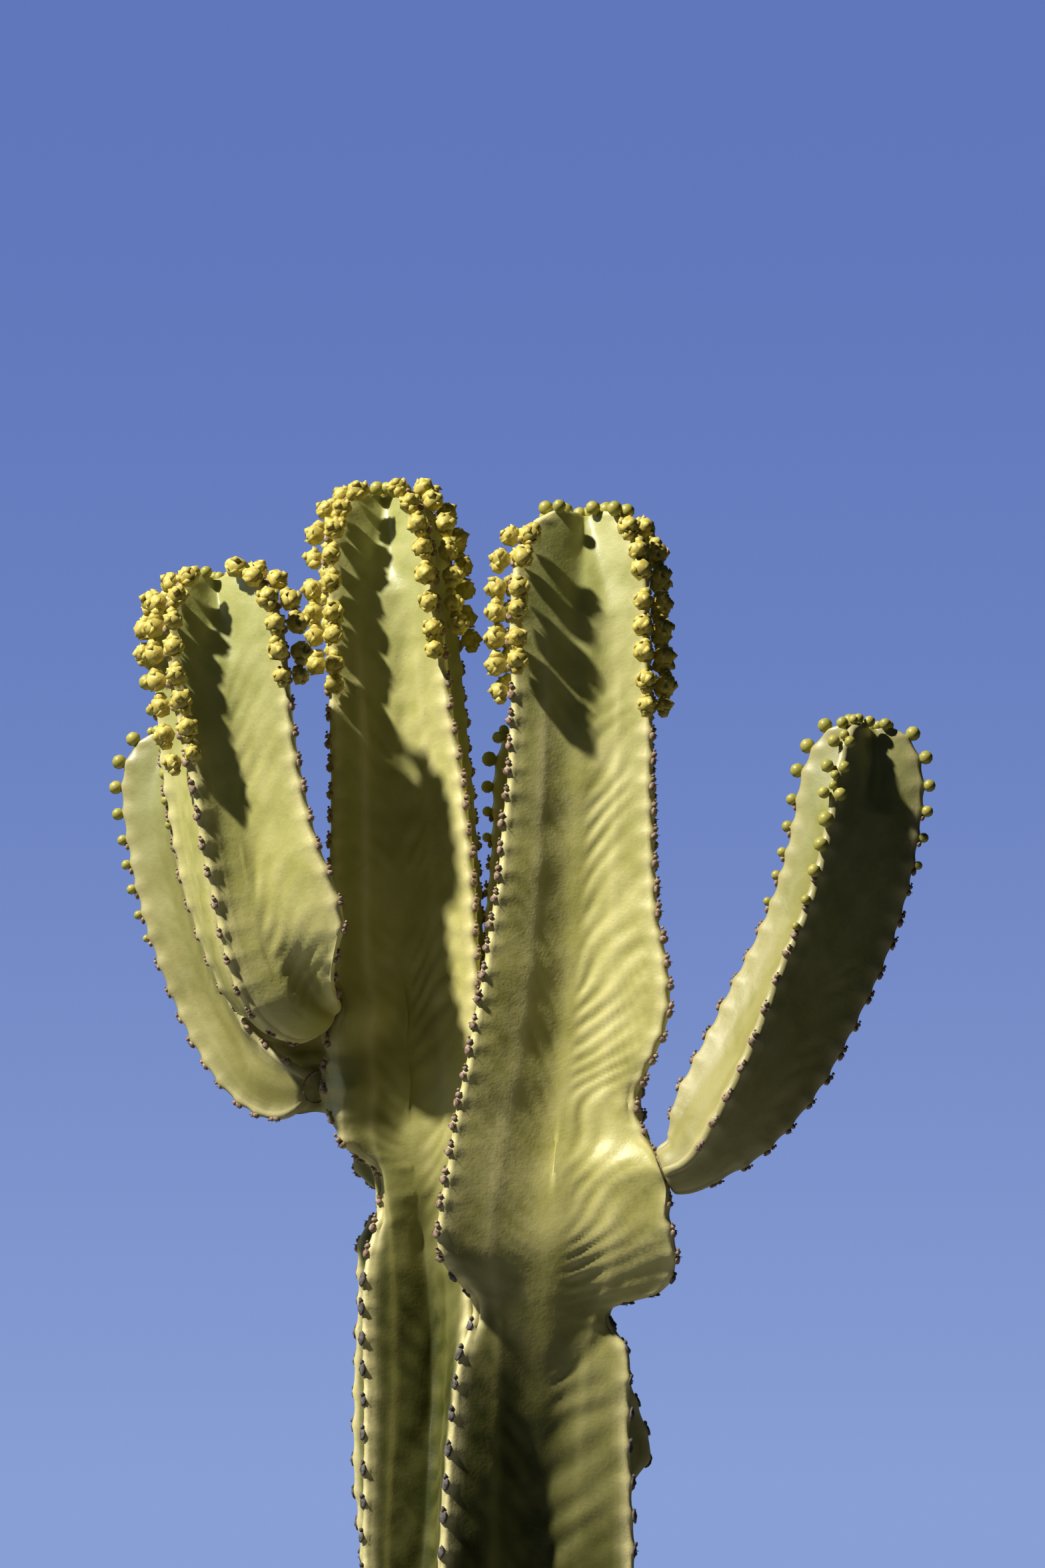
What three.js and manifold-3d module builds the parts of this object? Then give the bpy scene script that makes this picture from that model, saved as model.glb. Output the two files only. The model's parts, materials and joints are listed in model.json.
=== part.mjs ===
// A young candelabra tree: a ribbed succulent trunk that forks into three upright stems,
// with five arms that leave the ribs at narrow joints and turn up, and blossom along the upper ribs.
// Millimetres, +Z up. The origin is the centre of the flat cut under the trunk, at ground level.
// The plant is looked at along +Y, with +X to the right.
import * as THREE from "three";
import { mergeVertices } from "three/addons/utils/BufferGeometryUtils.js";
import Module from "manifold-3d";

const wasm = await Module();
wasm.setup();

// Sizes that every limb shares.
const gap = 0.3; // clearance between two limbs that meet
const marginHalf = 3; // half the thickness of a rib's edge
const wingPowers = [2.9, 3.8]; // how fast a face falls to its valley, behind a rib and before the next
const faceSteps = [0.2, 0.5, 0.8]; // where a face has points, from one rib to the next
const apexRadius = 4; // the growing point at the top
const apexDip = 8; // how far the growing point lies below the ribs' shoulders
const domePower = 0.8; // squareness of the shoulders
const domeRings = 4;
const forkHeight = 1130; // the trunk ends here, at the lowest pinch of the front stem
const knobRadius = 11; // the swelling that an arm's joint sits on
const knobInset = 5; // the swelling's centre, behind the joint
const areoleGap = 14.4; // distance between two growing points along a rib's edge
const firstAreole = 10; // the first one, from the growing point

// Each limb is given from its tip down. path runs along its middle. reach is the distance from there to
// a rib's edge and core the distance to a valley, as [distance from the tip, size]. Each rib has its
// direction, in degrees about the limb, and its pinches: [place, depth, length above, length below].
const limbs = {
  front_stem: {
    path: [[52, -20, 1573], [52, -20, 1520], [50, -22, 1460], [45, -25, 1330], [36, -25, 1225],
      [27, -20, 1128], [19, -11, 1010], [6, -3, 700], [0, 0, 300], [0, 0, 0]],
    shoulder: 62,
    reach: [[0, 45], [60, 47], [110, 52], [207, 59], [266, 66], [322, 73], [370, 78], [410, 80], [440, 71],
      [475, 61], [546, 68], [600, 73], [780, 80], [855, 71], [930, 79], [1130, 86], [1205, 77], [1280, 84],
      [1430, 88], [1510, 95], [1575, 115]],
    core: [[0, 20], [60, 24], [150, 26], [300, 27], [370, 31], [405, 33], [445, 26], [475, 23], [600, 19], [855, 22], [1205, 38], [1430, 60], [1510, 76], [1575, 105]],
    ribs: [
      {
        turn: [[0, -139], [400, -140], [460, -139], [600, -128], [1300, -105]],
        pinches: [[55, -10, 40, 45], [330, 3, 380, 150], [445, 19, 16, 20]],
      },
      {
        turn: [[0, -38], [378, -38], [425, -27], [470, -28], [600, -25], [1300, -45]],
        pinches: [[200, 4.5, 240, 230], [270, -7, 32, 25], [330, 18, 24, 26], [402, -4, 22, 24], [443, 26, 9, 16], [600, 6, 100, 400]],
      },
      {
        turn: [[0, 43], [450, 40], [600, 38], [1300, 15]],
        pinches: [[325, 15, 60, 55], [442, 24, 14, 18], [527, -21, 38, 16]],
      },
      { turn: [[0, 137], [450, 132], [600, 103], [860, 92], [1300, 75]], pinches: [[446, 22, 14, 20], [700, -6, 150, 250]] },
    ],
    blossom: [[2, 10, "open"], [2, 10, "open"], [2, 8, "open"], [2, 8, "open"]],
  },
  left_stem: {
    path: [[-62, 15, 1590], [-59, 15, 1540], [-51, 15, 1432], [-46, 13, 1320], [-38, 9, 1215],
      [-29, 6, 1127], [-19, 4, 1010], [-6, 2, 700], [0, 0, 300], [0, 0, 0]],
    shoulder: 62,
    reach: [[0, 42], [60, 44], [115, 47], [205, 52], [337, 58], [400, 57], [465, 53], [560, 61], [650, 66],
      [797, 75], [872, 66], [947, 74], [1147, 82], [1222, 74], [1297, 81], [1447, 86], [1527, 94], [1592, 113]],
    core: [[0, 20], [60, 23], [150, 24], [300, 25], [370, 25], [450, 21], [600, 19], [872, 22], [1222, 38], [1447, 60], [1527, 76], [1592, 104]],
    ribs: [
      {
        turn: [[0, -143], [400, -144], [600, -139], [1300, -140]],
        pinches: [[390, 26, 14, 40], [640, -7, 140, 900]],
        floor: [[0, 0], [430, 0], [530, 20], [600, 26], [1000, 26], [1300, 0]],
      },
      {
        turn: [[0, -53], [330, -56], [465, -71], [495, -79.5], [530, -89], [592, -96.5], [692, -103.5], [792, -108],
          [992, -109], [1300, -105]],
        pinches: [[230, -10, 70, 120], [640, -7, 130, 320]],
      },
      {
        turn: [[0, 37], [400, 48], [592, 70], [692, 78], [792, 82], [992, 83], [1300, 75]],
        pinches: [[395, 14, 18, 36], [592, 6, 60, 60]],
      },
      { turn: [[0, 127], [400, 136], [600, 147], [1300, 135]], pinches: [[398, 22, 12, 14], [500, -12, 75, 90]] },
    ],
    blossom: [[2, 10, "open"], [2, 10, "open"], [2, 9, "open"], [2, 8, "open"]],
  },
  back_stem: {
    path: [[37, 75, 1470], [37, 75, 1380], [31, 68, 1303], [20, 50, 1226], [12, 26, 1160]],
    shoulder: 52,
    reach: [[0, 37], [60, 39], [160, 42], [230, 42], [330, 30]],
    core: [[0, 17], [60, 19], [330, 20]],
    ribs: [
      { turn: [[0, -170]], pinches: [] },
      { turn: [[0, -80]], pinches: [] },
      { turn: [[0, 10]], pinches: [] },
      { turn: [[0, 100]], pinches: [] },
    ],
    blossom: [[1, 5, "bud"], [1, 5, "bud"], [1, 5, "bud"], [1, 5, "bud"]],
  },
  left_front_arm: {
    parent: "left_stem",
    path: [[-154, -43, 1534], [-151, -43, 1482], [-146, -43, 1426], [-138, -43, 1371], [-127, -40, 1327], [-112, -32, 1300], [-93, -16, 1290]],
    shoulder: 52,
    reach: [[0, 37], [60, 39], [165, 38], [225, 34], [250, 26], [270, 12.5]],
    core: [[0, 14], [60, 20], [130, 25], [170, 26], [225, 27], [250, 23], [270, 11]],
    ribs: [
      { turn: [[0, -142], [60, -139], [130, -127], [262, -142]], pinches: [[100, 5, 70, 70], [190, 9, 50, 50]] },
      { turn: [[0, -40], [130, -40], [262, -42]], pinches: [[90, -11, 260, 105], [208, -24, 60, 28]] },
      { turn: [[0, 72], [130, 71], [262, 46]], pinches: [[200, -8, 60, 30]] },
      { turn: [[0, 170], [130, 162], [262, 140]], pinches: [[243, -6, 24, 16]] },
    ],
    blossom: [[2, 9, "open"], [2, 8, "open"], [2, 6, "open"], [2, 7, "open"]],
  },
  left_back_arm: {
    parent: "left_stem",
    path: [[-183, 52, 1458], [-179, 50, 1416], [-171, 46, 1377], [-159, 40, 1339], [-142, 34, 1300],
      [-122, 17, 1267], [-109, 1, 1254], [-98, -12, 1250]],
    shoulder: 46,
    reach: [[0, 33], [60, 35], [150, 36], [195, 35], [222, 30], [240, 24], [252, 12.5]],
    core: [[0, 15], [60, 17], [190, 19], [225, 21], [252, 11]],
    ribs: [
      { turn: [[0, -99]], pinches: [] },
      { turn: [[0, -9]], pinches: [] },
      { turn: [[0, 81]], pinches: [] },
      { turn: [[0, 171]], pinches: [] },
    ],
    blossom: [[1, 5, "bud"], [1, 5, "bud"], [1, 5, "bud"], [1, 7, "bud"]],
  },
  right_arm: {
    parent: "front_stem",
    path: [[207, -62, 1448], [202, -62, 1406], [195, -63, 1369], [183, -64, 1332], [166, -66, 1296],
      [146, -69, 1259], [124, -70, 1228], [107, -69, 1208], [93, -68, 1202]],
    shoulder: 50,
    reach: [[0, 34], [60, 37], [160, 37], [200, 35], [240, 29], [262, 20], [284, 12.5]],
    core: [[0, 17], [60, 19], [190, 20], [250, 18], [284, 11]],
    ribs: [
      { turn: [[0, -117], [150, -114], [284, -88]], pinches: [] },
      { turn: [[0, -11], [150, -10], [284, 8]], pinches: [[80, 2, 150, 200]] },
      { turn: [[0, 66], [150, 68], [284, 92]], pinches: [] },
      { turn: [[0, 158], [150, 158], [284, 182]], pinches: [] },
    ],
    blossom: [[1, 6, "bud"], [1, 6, "bud"], [1, 5, "bud"], [1, 5, "bud"]],
  },
  rear_left_arm: {
    parent: "left_stem",
    path: [[-54, 112, 1515], [-54, 112, 1443], [-56, 110, 1364], [-62, 102, 1310], [-70, 84, 1270],
      [-77, 62, 1252]],
    shoulder: 48,
    reach: [[0, 32], [60, 35], [170, 37], [240, 32], [268, 24], [290, 12.5]],
    core: [[0, 16], [60, 18], [200, 19], [290, 11]],
    ribs: [
      { turn: [[0, -135]], pinches: [] },
      { turn: [[0, -45]], pinches: [] },
      { turn: [[0, 45]], pinches: [] },
      { turn: [[0, 135]], pinches: [] },
    ],
    blossom: [[1, 5, "bud"], [1, 5, "bud"], [1, 6, "bud"], [1, 6, "bud"]],
  },
  rear_right_arm: {
    parent: "front_stem",
    path: [[50, 142, 1405], [50, 141, 1350], [50, 136, 1300], [53, 122, 1252], [63, 98, 1216],
      [78, 66, 1198], [88, 44, 1194]],
    shoulder: 46,
    reach: [[0, 32], [60, 34], [130, 36], [180, 30], [230, 22], [268, 12.5]],
    core: [[0, 15], [60, 17], [180, 17], [268, 11]],
    ribs: [
      { turn: [[0, -90]], pinches: [] },
      { turn: [[0, 0]], pinches: [] },
      { turn: [[0, 90]], pinches: [] },
      { turn: [[0, 180]], pinches: [] },
    ],
    blossom: [[1, 4, "bud"], [1, 5, "bud"], [1, 5, "bud"], [1, 5, "bud"]],
  },
};

// Sizes of the blossom: an open head in two halves, side by side over the rib's edge, and a single bud.
const heads = {
  open: { radius: 7, side: 5.8, lift: 2.6 },
  bud: { radius: 5.4, side: 0, lift: 2.8 },
};

const greens = {
  trunk: new THREE.MeshStandardMaterial({ color: 0x7d8446, roughness: 0.75, metalness: 0 }),
  limb: new THREE.MeshStandardMaterial({ color: 0x9aa35c, roughness: 0.6, metalness: 0 }),
};

// A size at a distance, on a smooth curve through [distance, size] stations.
function sizeAt(stations, distance) {
  const last = stations.length - 1;
  if (distance <= stations[0][0] || last === 0) return stations[0][1];
  if (distance >= stations[last][0]) return stations[last][1];
  const i = stations.findIndex((s) => s[0] > distance) - 1;
  const slope = (j) => {
    const a = stations[Math.max(j - 1, 0)];
    const b = stations[Math.min(j + 1, last)];
    return (b[1] - a[1]) / (b[0] - a[0]);
  };
  const span = stations[i + 1][0] - stations[i][0];
  const t = (distance - stations[i][0]) / span;
  const rise = t * t * (3 - 2 * t);
  const start = t * (1 - t) * (1 - t) * span * slope(i);
  const end = t * t * (t - 1) * span * slope(i + 1);
  return stations[i][1] + (stations[i + 1][1] - stations[i][1]) * rise + start + end;
}

// How much a rib's pinches take off its reach at a distance from the tip.
function pinchAt(pinches, distance) {
  return pinches.reduce((sum, [place, depth, above, below]) => {
    const away = (distance - place) / (distance < place ? above : below);
    return sum + depth * Math.exp(-away * away);
  }, 0);
}

// Points and directions along a limb's middle, with across and depth axes that don't twist.
function middleLine(limb) {
  const curve = new THREE.CatmullRomCurve3(limb.path.map((p) => new THREE.Vector3(...p)), false, "catmullrom");
  const length = curve.getLength();
  const steps = Math.ceil(length / 4);
  const frames = [];
  let across = new THREE.Vector3(1, 0, 0);
  for (let i = 0; i <= steps; i++) {
    const up = curve.getTangentAt(i / steps).negate();
    across = across.clone().addScaledVector(up, -across.dot(up)).normalize();
    frames.push({ point: curve.getPointAt(i / steps), up, across, depth: up.clone().cross(across) });
  }
  return { length, at: (distance) => blendFrames(frames, (distance / length) * steps) };
}

function blendFrames(frames, place) {
  const i = Math.min(Math.max(Math.floor(place), 0), frames.length - 2);
  const t = Math.min(Math.max(place - i, 0), 1);
  const blend = (key) => frames[i][key].clone().lerp(frames[i + 1][key], t);
  return {
    point: blend("point"),
    up: blend("up").normalize(),
    across: blend("across").normalize(),
    depth: blend("depth").normalize(),
  };
}

// A ring of the limb: how far the rib edges and the valleys lie out and down, at angle lean over the
// dome, or at a plain distance from the tip below it.
function ringAt(limb, rib, lean, distance) {
  const reachAt = (d) => sizeAt(limb.reach, d) - pinchAt(rib.pinches, d);
  if (lean === null) {
    return { edge: reachAt(distance), edgeDown: distance, valley: sizeAt(limb.core, distance), valleyDown: distance };
  }
  const full = reachAt(limb.shoulder);
  const out = Math.cos(lean) ** domePower;
  const up = Math.sin(lean) ** domePower;
  const edge = apexRadius + (full - apexRadius) * out;
  const inward = THREE.MathUtils.smoothstep(1 - edge / full, 0.5, 1);
  return {
    edge,
    edgeDown: limb.shoulder * (1 - up) + apexDip * inward,
    valley: apexRadius + (sizeAt(limb.core, limb.shoulder) - apexRadius) * Math.cos(lean) ** 0.7,
    valleyDown: limb.shoulder - (limb.shoulder - apexDip) * Math.sin(lean),
  };
}

// One point of a limb's skin: face number, place across the face from 0 to 1, and the ring.
function skinPoint(limb, middle, face, across, lean, distance, grow) {
  const count = limb.ribs.length;
  const from = limb.ribs[face];
  const to = limb.ribs[(face + 1) % count];
  const near = across < 0.5 ? from : to;
  const ring = ringAt(limb, near, lean, distance);
  const near01 = Math.abs(2 * across - 1);
  const wing = 0.2 * near01 ** 2 + 0.8 * near01 ** wingPowers[across < 0.5 ? 0 : 1];
  const valley = ring.valley + (from.floor ? sizeAt(from.floor, ring.valleyDown) : 0);
  const out = valley + (ring.edge - valley) * wing + grow;
  const down = ring.valleyDown + (ring.edgeDown - ring.valleyDown) * wing;
  const start = sizeAt(from.turn, down);
  const sweep = (((sizeAt(to.turn, down) - start) % 360) + 360) % 360;
  const angle = THREE.MathUtils.degToRad(start + sweep * across);
  const edgeAngle = THREE.MathUtils.degToRad(across < 0.5 ? start : start + sweep);
  const shift = (across < 0.5 ? 1 : -1) * (Math.min(marginHalf, ring.edge / 2) + grow) * wing;
  const frame = middle.at(down);
  return frame.point.clone()
    .addScaledVector(frame.across, Math.cos(angle) * out - Math.sin(edgeAngle) * shift)
    .addScaledVector(frame.depth, Math.sin(angle) * out + Math.cos(edgeAngle) * shift);
}

// The rings of a limb, from the growing point down.
function ringsOf(limb, middle, spacing) {
  const rings = [];
  for (let i = domeRings; i > 0; i--) rings.push([(Math.PI / 2) * (i / domeRings), limb.shoulder]);
  let distance = limb.shoulder;
  while (distance < middle.length - spacing(distance) / 2) {
    rings.push([null, distance]);
    distance += spacing(distance);
  }
  rings.push([null, middle.length]);
  return rings;
}

// A closed cylinder, with its side and end caps bent to the limb's skin.
function limbGeometry(limb, spacing, grow = 0) {
  const middle = middleLine(limb);
  const rings = ringsOf(limb, middle, spacing);
  const steps = [0, ...faceSteps, 1];
  const around = limb.ribs.length * steps.length;
  const tube = new THREE.CylinderGeometry(1, 1, rings.length - 1, around, rings.length - 1);
  const place = tube.getAttribute("position");
  for (let i = 0; i < place.count; i++) {
    const x = place.getX(i);
    const z = place.getZ(i);
    const row = Math.round((rings.length - 1) / 2 - place.getY(i));
    const [lean, distance] = rings[row];
    if (Math.hypot(x, z) < 0.5) {
      const centre = middle.at(row === 0 ? apexDip : distance).point;
      place.setXYZ(i, centre.x, centre.y, centre.z);
      continue;
    }
    const turn = Math.round((Math.atan2(x, z) / (2 * Math.PI)) * around + around) % around;
    const face = Math.floor(turn / steps.length);
    const point = skinPoint(limb, middle, face, steps[turn % steps.length], lean, distance, grow);
    place.setXYZ(i, point.x, point.y, point.z);
  }
  return tube;
}

function solidFrom(geometry) {
  const bare = geometry.clone();
  bare.deleteAttribute("normal");
  bare.deleteAttribute("uv");
  const merged = mergeVertices(bare, 1e-3);
  const solid = new wasm.Manifold(new wasm.Mesh({
    numProp: 3,
    vertProperties: merged.attributes.position.array,
    triVerts: new Uint32Array(merged.index.array),
  }));
  if (solid.volume() > 0) return solid;
  throw new Error("a shape is inside out");
}

function largestPiece(solid) {
  return solid.decompose().reduce((a, b) => (a.volume() > b.volume() ? a : b));
}

// The half of space beyond a point, as a large box.
function spaceBeyond(point, direction) {
  const size = 4000;
  const box = new THREE.BoxGeometry(size, size, size).translate(0, 0, size / 2);
  const turn = new THREE.Quaternion().setFromUnitVectors(new THREE.Vector3(0, 0, 1), direction);
  box.applyQuaternion(turn).translate(point.x, point.y, point.z);
  return solidFrom(box);
}

// Places along a rib's edge, at even gaps from the growing point, each with its outward direction.
function areolesOf(limb, face, count) {
  const middle = middleLine(limb);
  const edgePoint = (lean, distance) => {
    const sides = [skinPoint(limb, middle, face, 0, lean, distance, 0),
      skinPoint(limb, middle, (face + limb.ribs.length - 1) % limb.ribs.length, 1, lean, distance, 0)];
    const mid = sides[0].clone().lerp(sides[1], 0.5);
    return { mid, side: sides[0].clone().sub(sides[1]).normalize() };
  };
  const line = [];
  for (let i = 30; i > 0; i--) line.push(edgePoint((Math.PI / 2) * (i / 30), limb.shoulder));
  for (let d = limb.shoulder; d < middle.length; d += 2) line.push(edgePoint(null, d));
  const found = [];
  let walked = 0;
  for (let i = 1; i < line.length - 1 && found.length < count; i++) {
    walked += line[i].mid.distanceTo(line[i - 1].mid);
    if (walked < firstAreole + areoleGap * found.length) continue;
    const along = line[i + 1].mid.clone().sub(line[i - 1].mid).normalize();
    const out = line[i].side.clone().cross(along).normalize();
    const centre = middle.at(limb.shoulder + 10).point;
    if (out.dot(line[i].mid.clone().sub(centre)) < 0) out.negate();
    found.push({ point: line[i].mid, side: line[i].side, out });
  }
  return found;
}

// The blossom on a limb: ball-shaped heads, sunk into the rib's edge.
function blossomOf(limb) {
  const balls = [];
  limb.blossom.forEach(([first, last, kind], face) => {
    const head = heads[kind];
    areolesOf(limb, face, last).slice(first - 1).forEach(({ point, side, out }) => {
      const turn = new THREE.Matrix4().makeBasis(side, out, side.clone().cross(out));
      for (const hand of head.side ? [-1, 1] : [0]) {
        const centre = point.clone().addScaledVector(out, head.lift).addScaledVector(side, hand * head.side);
        const ball = new THREE.OctahedronGeometry(head.radius).applyMatrix4(turn);
        balls.push(solidFrom(ball.translate(centre.x, centre.y, centre.z)));
      }
    });
  });
  return wasm.Manifold.union(balls);
}

// The swelling on a parent's rib that an arm's joint sits on, cut flat at the joint.
function knobOf(arm) {
  const middle = middleLine(arm);
  const end = middle.at(middle.length);
  const centre = end.point.clone().addScaledVector(end.up, -knobInset);
  const ball = new THREE.IcosahedronGeometry(knobRadius, 2).translate(centre.x, centre.y, centre.z);
  const joint = end.point.clone().addScaledVector(end.up, -gap);
  return solidFrom(ball).subtract(spaceBeyond(joint, end.up));
}

function meshFrom(name, solid, material) {
  const { numProp, vertProperties, triVerts } = solid.getMesh();
  const geometry = new THREE.BufferGeometry();
  const points = new Float32Array((vertProperties.length / numProp) * 3);
  for (let i = 0; i < points.length / 3; i++) {
    for (let j = 0; j < 3; j++) points[i * 3 + j] = vertProperties[i * numProp + j];
  }
  geometry.setAttribute("position", new THREE.BufferAttribute(points, 3));
  geometry.setIndex(new THREE.BufferAttribute(new Uint32Array(triVerts), 1));
  geometry.computeVertexNormals();
  const mesh = new THREE.Mesh(geometry, material);
  mesh.name = name;
  return mesh;
}

const stemSpacing = (distance) => (distance < 240 ? 30 : distance < 560 ? 15 : distance < 1430 ? 74 : 36);
const armSpacing = () => 24;
const solidOf = (limb, spacing, grow) => solidFrom(limbGeometry(limb, spacing, grow));

// The trunk is both main stems below the fork, grown together.
const groundCut = spaceBeyond(new THREE.Vector3(0, 0, 0), new THREE.Vector3(0, 0, -1));
const aboveFork = spaceBeyond(new THREE.Vector3(0, 0, forkHeight), new THREE.Vector3(0, 0, 1));
const belowFork = spaceBeyond(new THREE.Vector3(0, 0, forkHeight + gap), new THREE.Vector3(0, 0, -1));
const frontWhole = solidOf(limbs.front_stem, stemSpacing, 0);
const leftWhole = solidOf(limbs.left_stem, stemSpacing, 0);
const frontGrown = solidOf(limbs.front_stem, stemSpacing, 2 * gap);
const leftGrown = solidOf(limbs.left_stem, stemSpacing, 2 * gap);
const trunk = frontWhole.add(leftWhole).subtract(aboveFork).subtract(groundCut);

const arms = Object.entries(limbs).filter(([, limb]) => limb.parent);
const knobsOn = (name) => wasm.Manifold.union(arms.filter(([, arm]) => arm.parent === name).map(([, arm]) => knobOf(arm)));

const solids = { trunk: largestPiece(trunk) };
solids.front_stem = largestPiece(
  frontWhole.subtract(belowFork).add(knobsOn("front_stem")).add(blossomOf(limbs.front_stem)),
);
solids.left_stem = largestPiece(
  leftWhole.subtract(belowFork).add(knobsOn("left_stem")).add(blossomOf(limbs.left_stem)).subtract(frontGrown),
);
solids.back_stem = largestPiece(
  solidOf(limbs.back_stem, armSpacing, 0).add(blossomOf(limbs.back_stem))
    .subtract(frontGrown).subtract(leftGrown).subtract(belowFork),
);
for (const [name, arm] of arms) {
  solids[name] = largestPiece(
    solidOf(arm, armSpacing, 0).add(blossomOf(arm)).subtract(frontGrown).subtract(leftGrown),
  );
}

const candelabraTree = new THREE.Group();
for (const [name, solid] of Object.entries(solids)) {
  candelabraTree.add(meshFrom(name, solid, name === "trunk" ? greens.trunk : greens.limb));
}
export default candelabraTree;
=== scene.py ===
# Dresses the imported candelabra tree: ribbed skin, joint knobs, blossom, buds, spine shields, floor, light, camera.
# The dictionaries give millimetres, as the part's source does. The meshes are in metres.
import json
import math

import bmesh
import bpy
import numpy as np
from mathutils import Matrix, Vector

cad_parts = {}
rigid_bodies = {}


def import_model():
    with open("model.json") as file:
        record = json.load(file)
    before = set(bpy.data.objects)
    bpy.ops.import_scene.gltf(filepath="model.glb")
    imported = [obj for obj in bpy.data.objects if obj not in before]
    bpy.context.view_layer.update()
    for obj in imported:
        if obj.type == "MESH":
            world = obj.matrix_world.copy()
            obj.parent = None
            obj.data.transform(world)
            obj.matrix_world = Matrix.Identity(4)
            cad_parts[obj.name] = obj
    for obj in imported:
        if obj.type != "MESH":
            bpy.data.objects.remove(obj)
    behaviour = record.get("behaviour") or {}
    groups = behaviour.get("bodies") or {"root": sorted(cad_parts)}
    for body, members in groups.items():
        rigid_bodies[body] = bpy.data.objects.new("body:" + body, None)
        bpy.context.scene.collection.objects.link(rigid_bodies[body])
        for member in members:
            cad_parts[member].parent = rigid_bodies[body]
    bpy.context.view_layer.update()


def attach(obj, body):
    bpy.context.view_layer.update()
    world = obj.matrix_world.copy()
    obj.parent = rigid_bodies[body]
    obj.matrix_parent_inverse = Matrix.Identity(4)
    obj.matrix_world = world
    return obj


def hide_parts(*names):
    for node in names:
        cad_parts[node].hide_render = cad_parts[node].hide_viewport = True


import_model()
mm = 0.001
rng = np.random.default_rng(57)

# camera, at the photograph's angle
cameraSet = {"place": (0.0165, -2.5858, 1.1492), "tilt": 6.0, "lens": 106.12}
cameraData = bpy.data.cameras.new("camera")
cameraData.lens = cameraSet["lens"]
cameraData.sensor_width = 36.0
cameraData.sensor_fit = "AUTO"
camera = bpy.data.objects.new("camera", cameraData)
camera.location = cameraSet["place"]
camera.rotation_euler = (math.radians(90 + cameraSet["tilt"]), 0, 0)
bpy.context.collection.objects.link(camera)
bpy.context.scene.camera = camera
print("camera placed")

# limbs, from the tip down, the same named sizes as the part's source. For this skin alone, a rib's floor lifts or
# sinks the valley behind it, its fall says how fast the face drops to that valley, and a dent is a hollow in the face
shared = {
    "marginHalf": 3.0,       # half the thickness of a rib's edge
    "capHeight": 2.6,        # how far the rounded edge stands over the face
    "wingPowers": (2.9, 3.8),  # how fast a face falls to its valley, behind a rib and before the next
    "apexRadius": 4.0, "apexDip": 3.5, "domePower": 0.8, "apexPower": 0.8,
    "forkHeight": 1130.0,
    "jointGap": 0.3,
    "firstAreole": 6.0,
}

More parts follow.
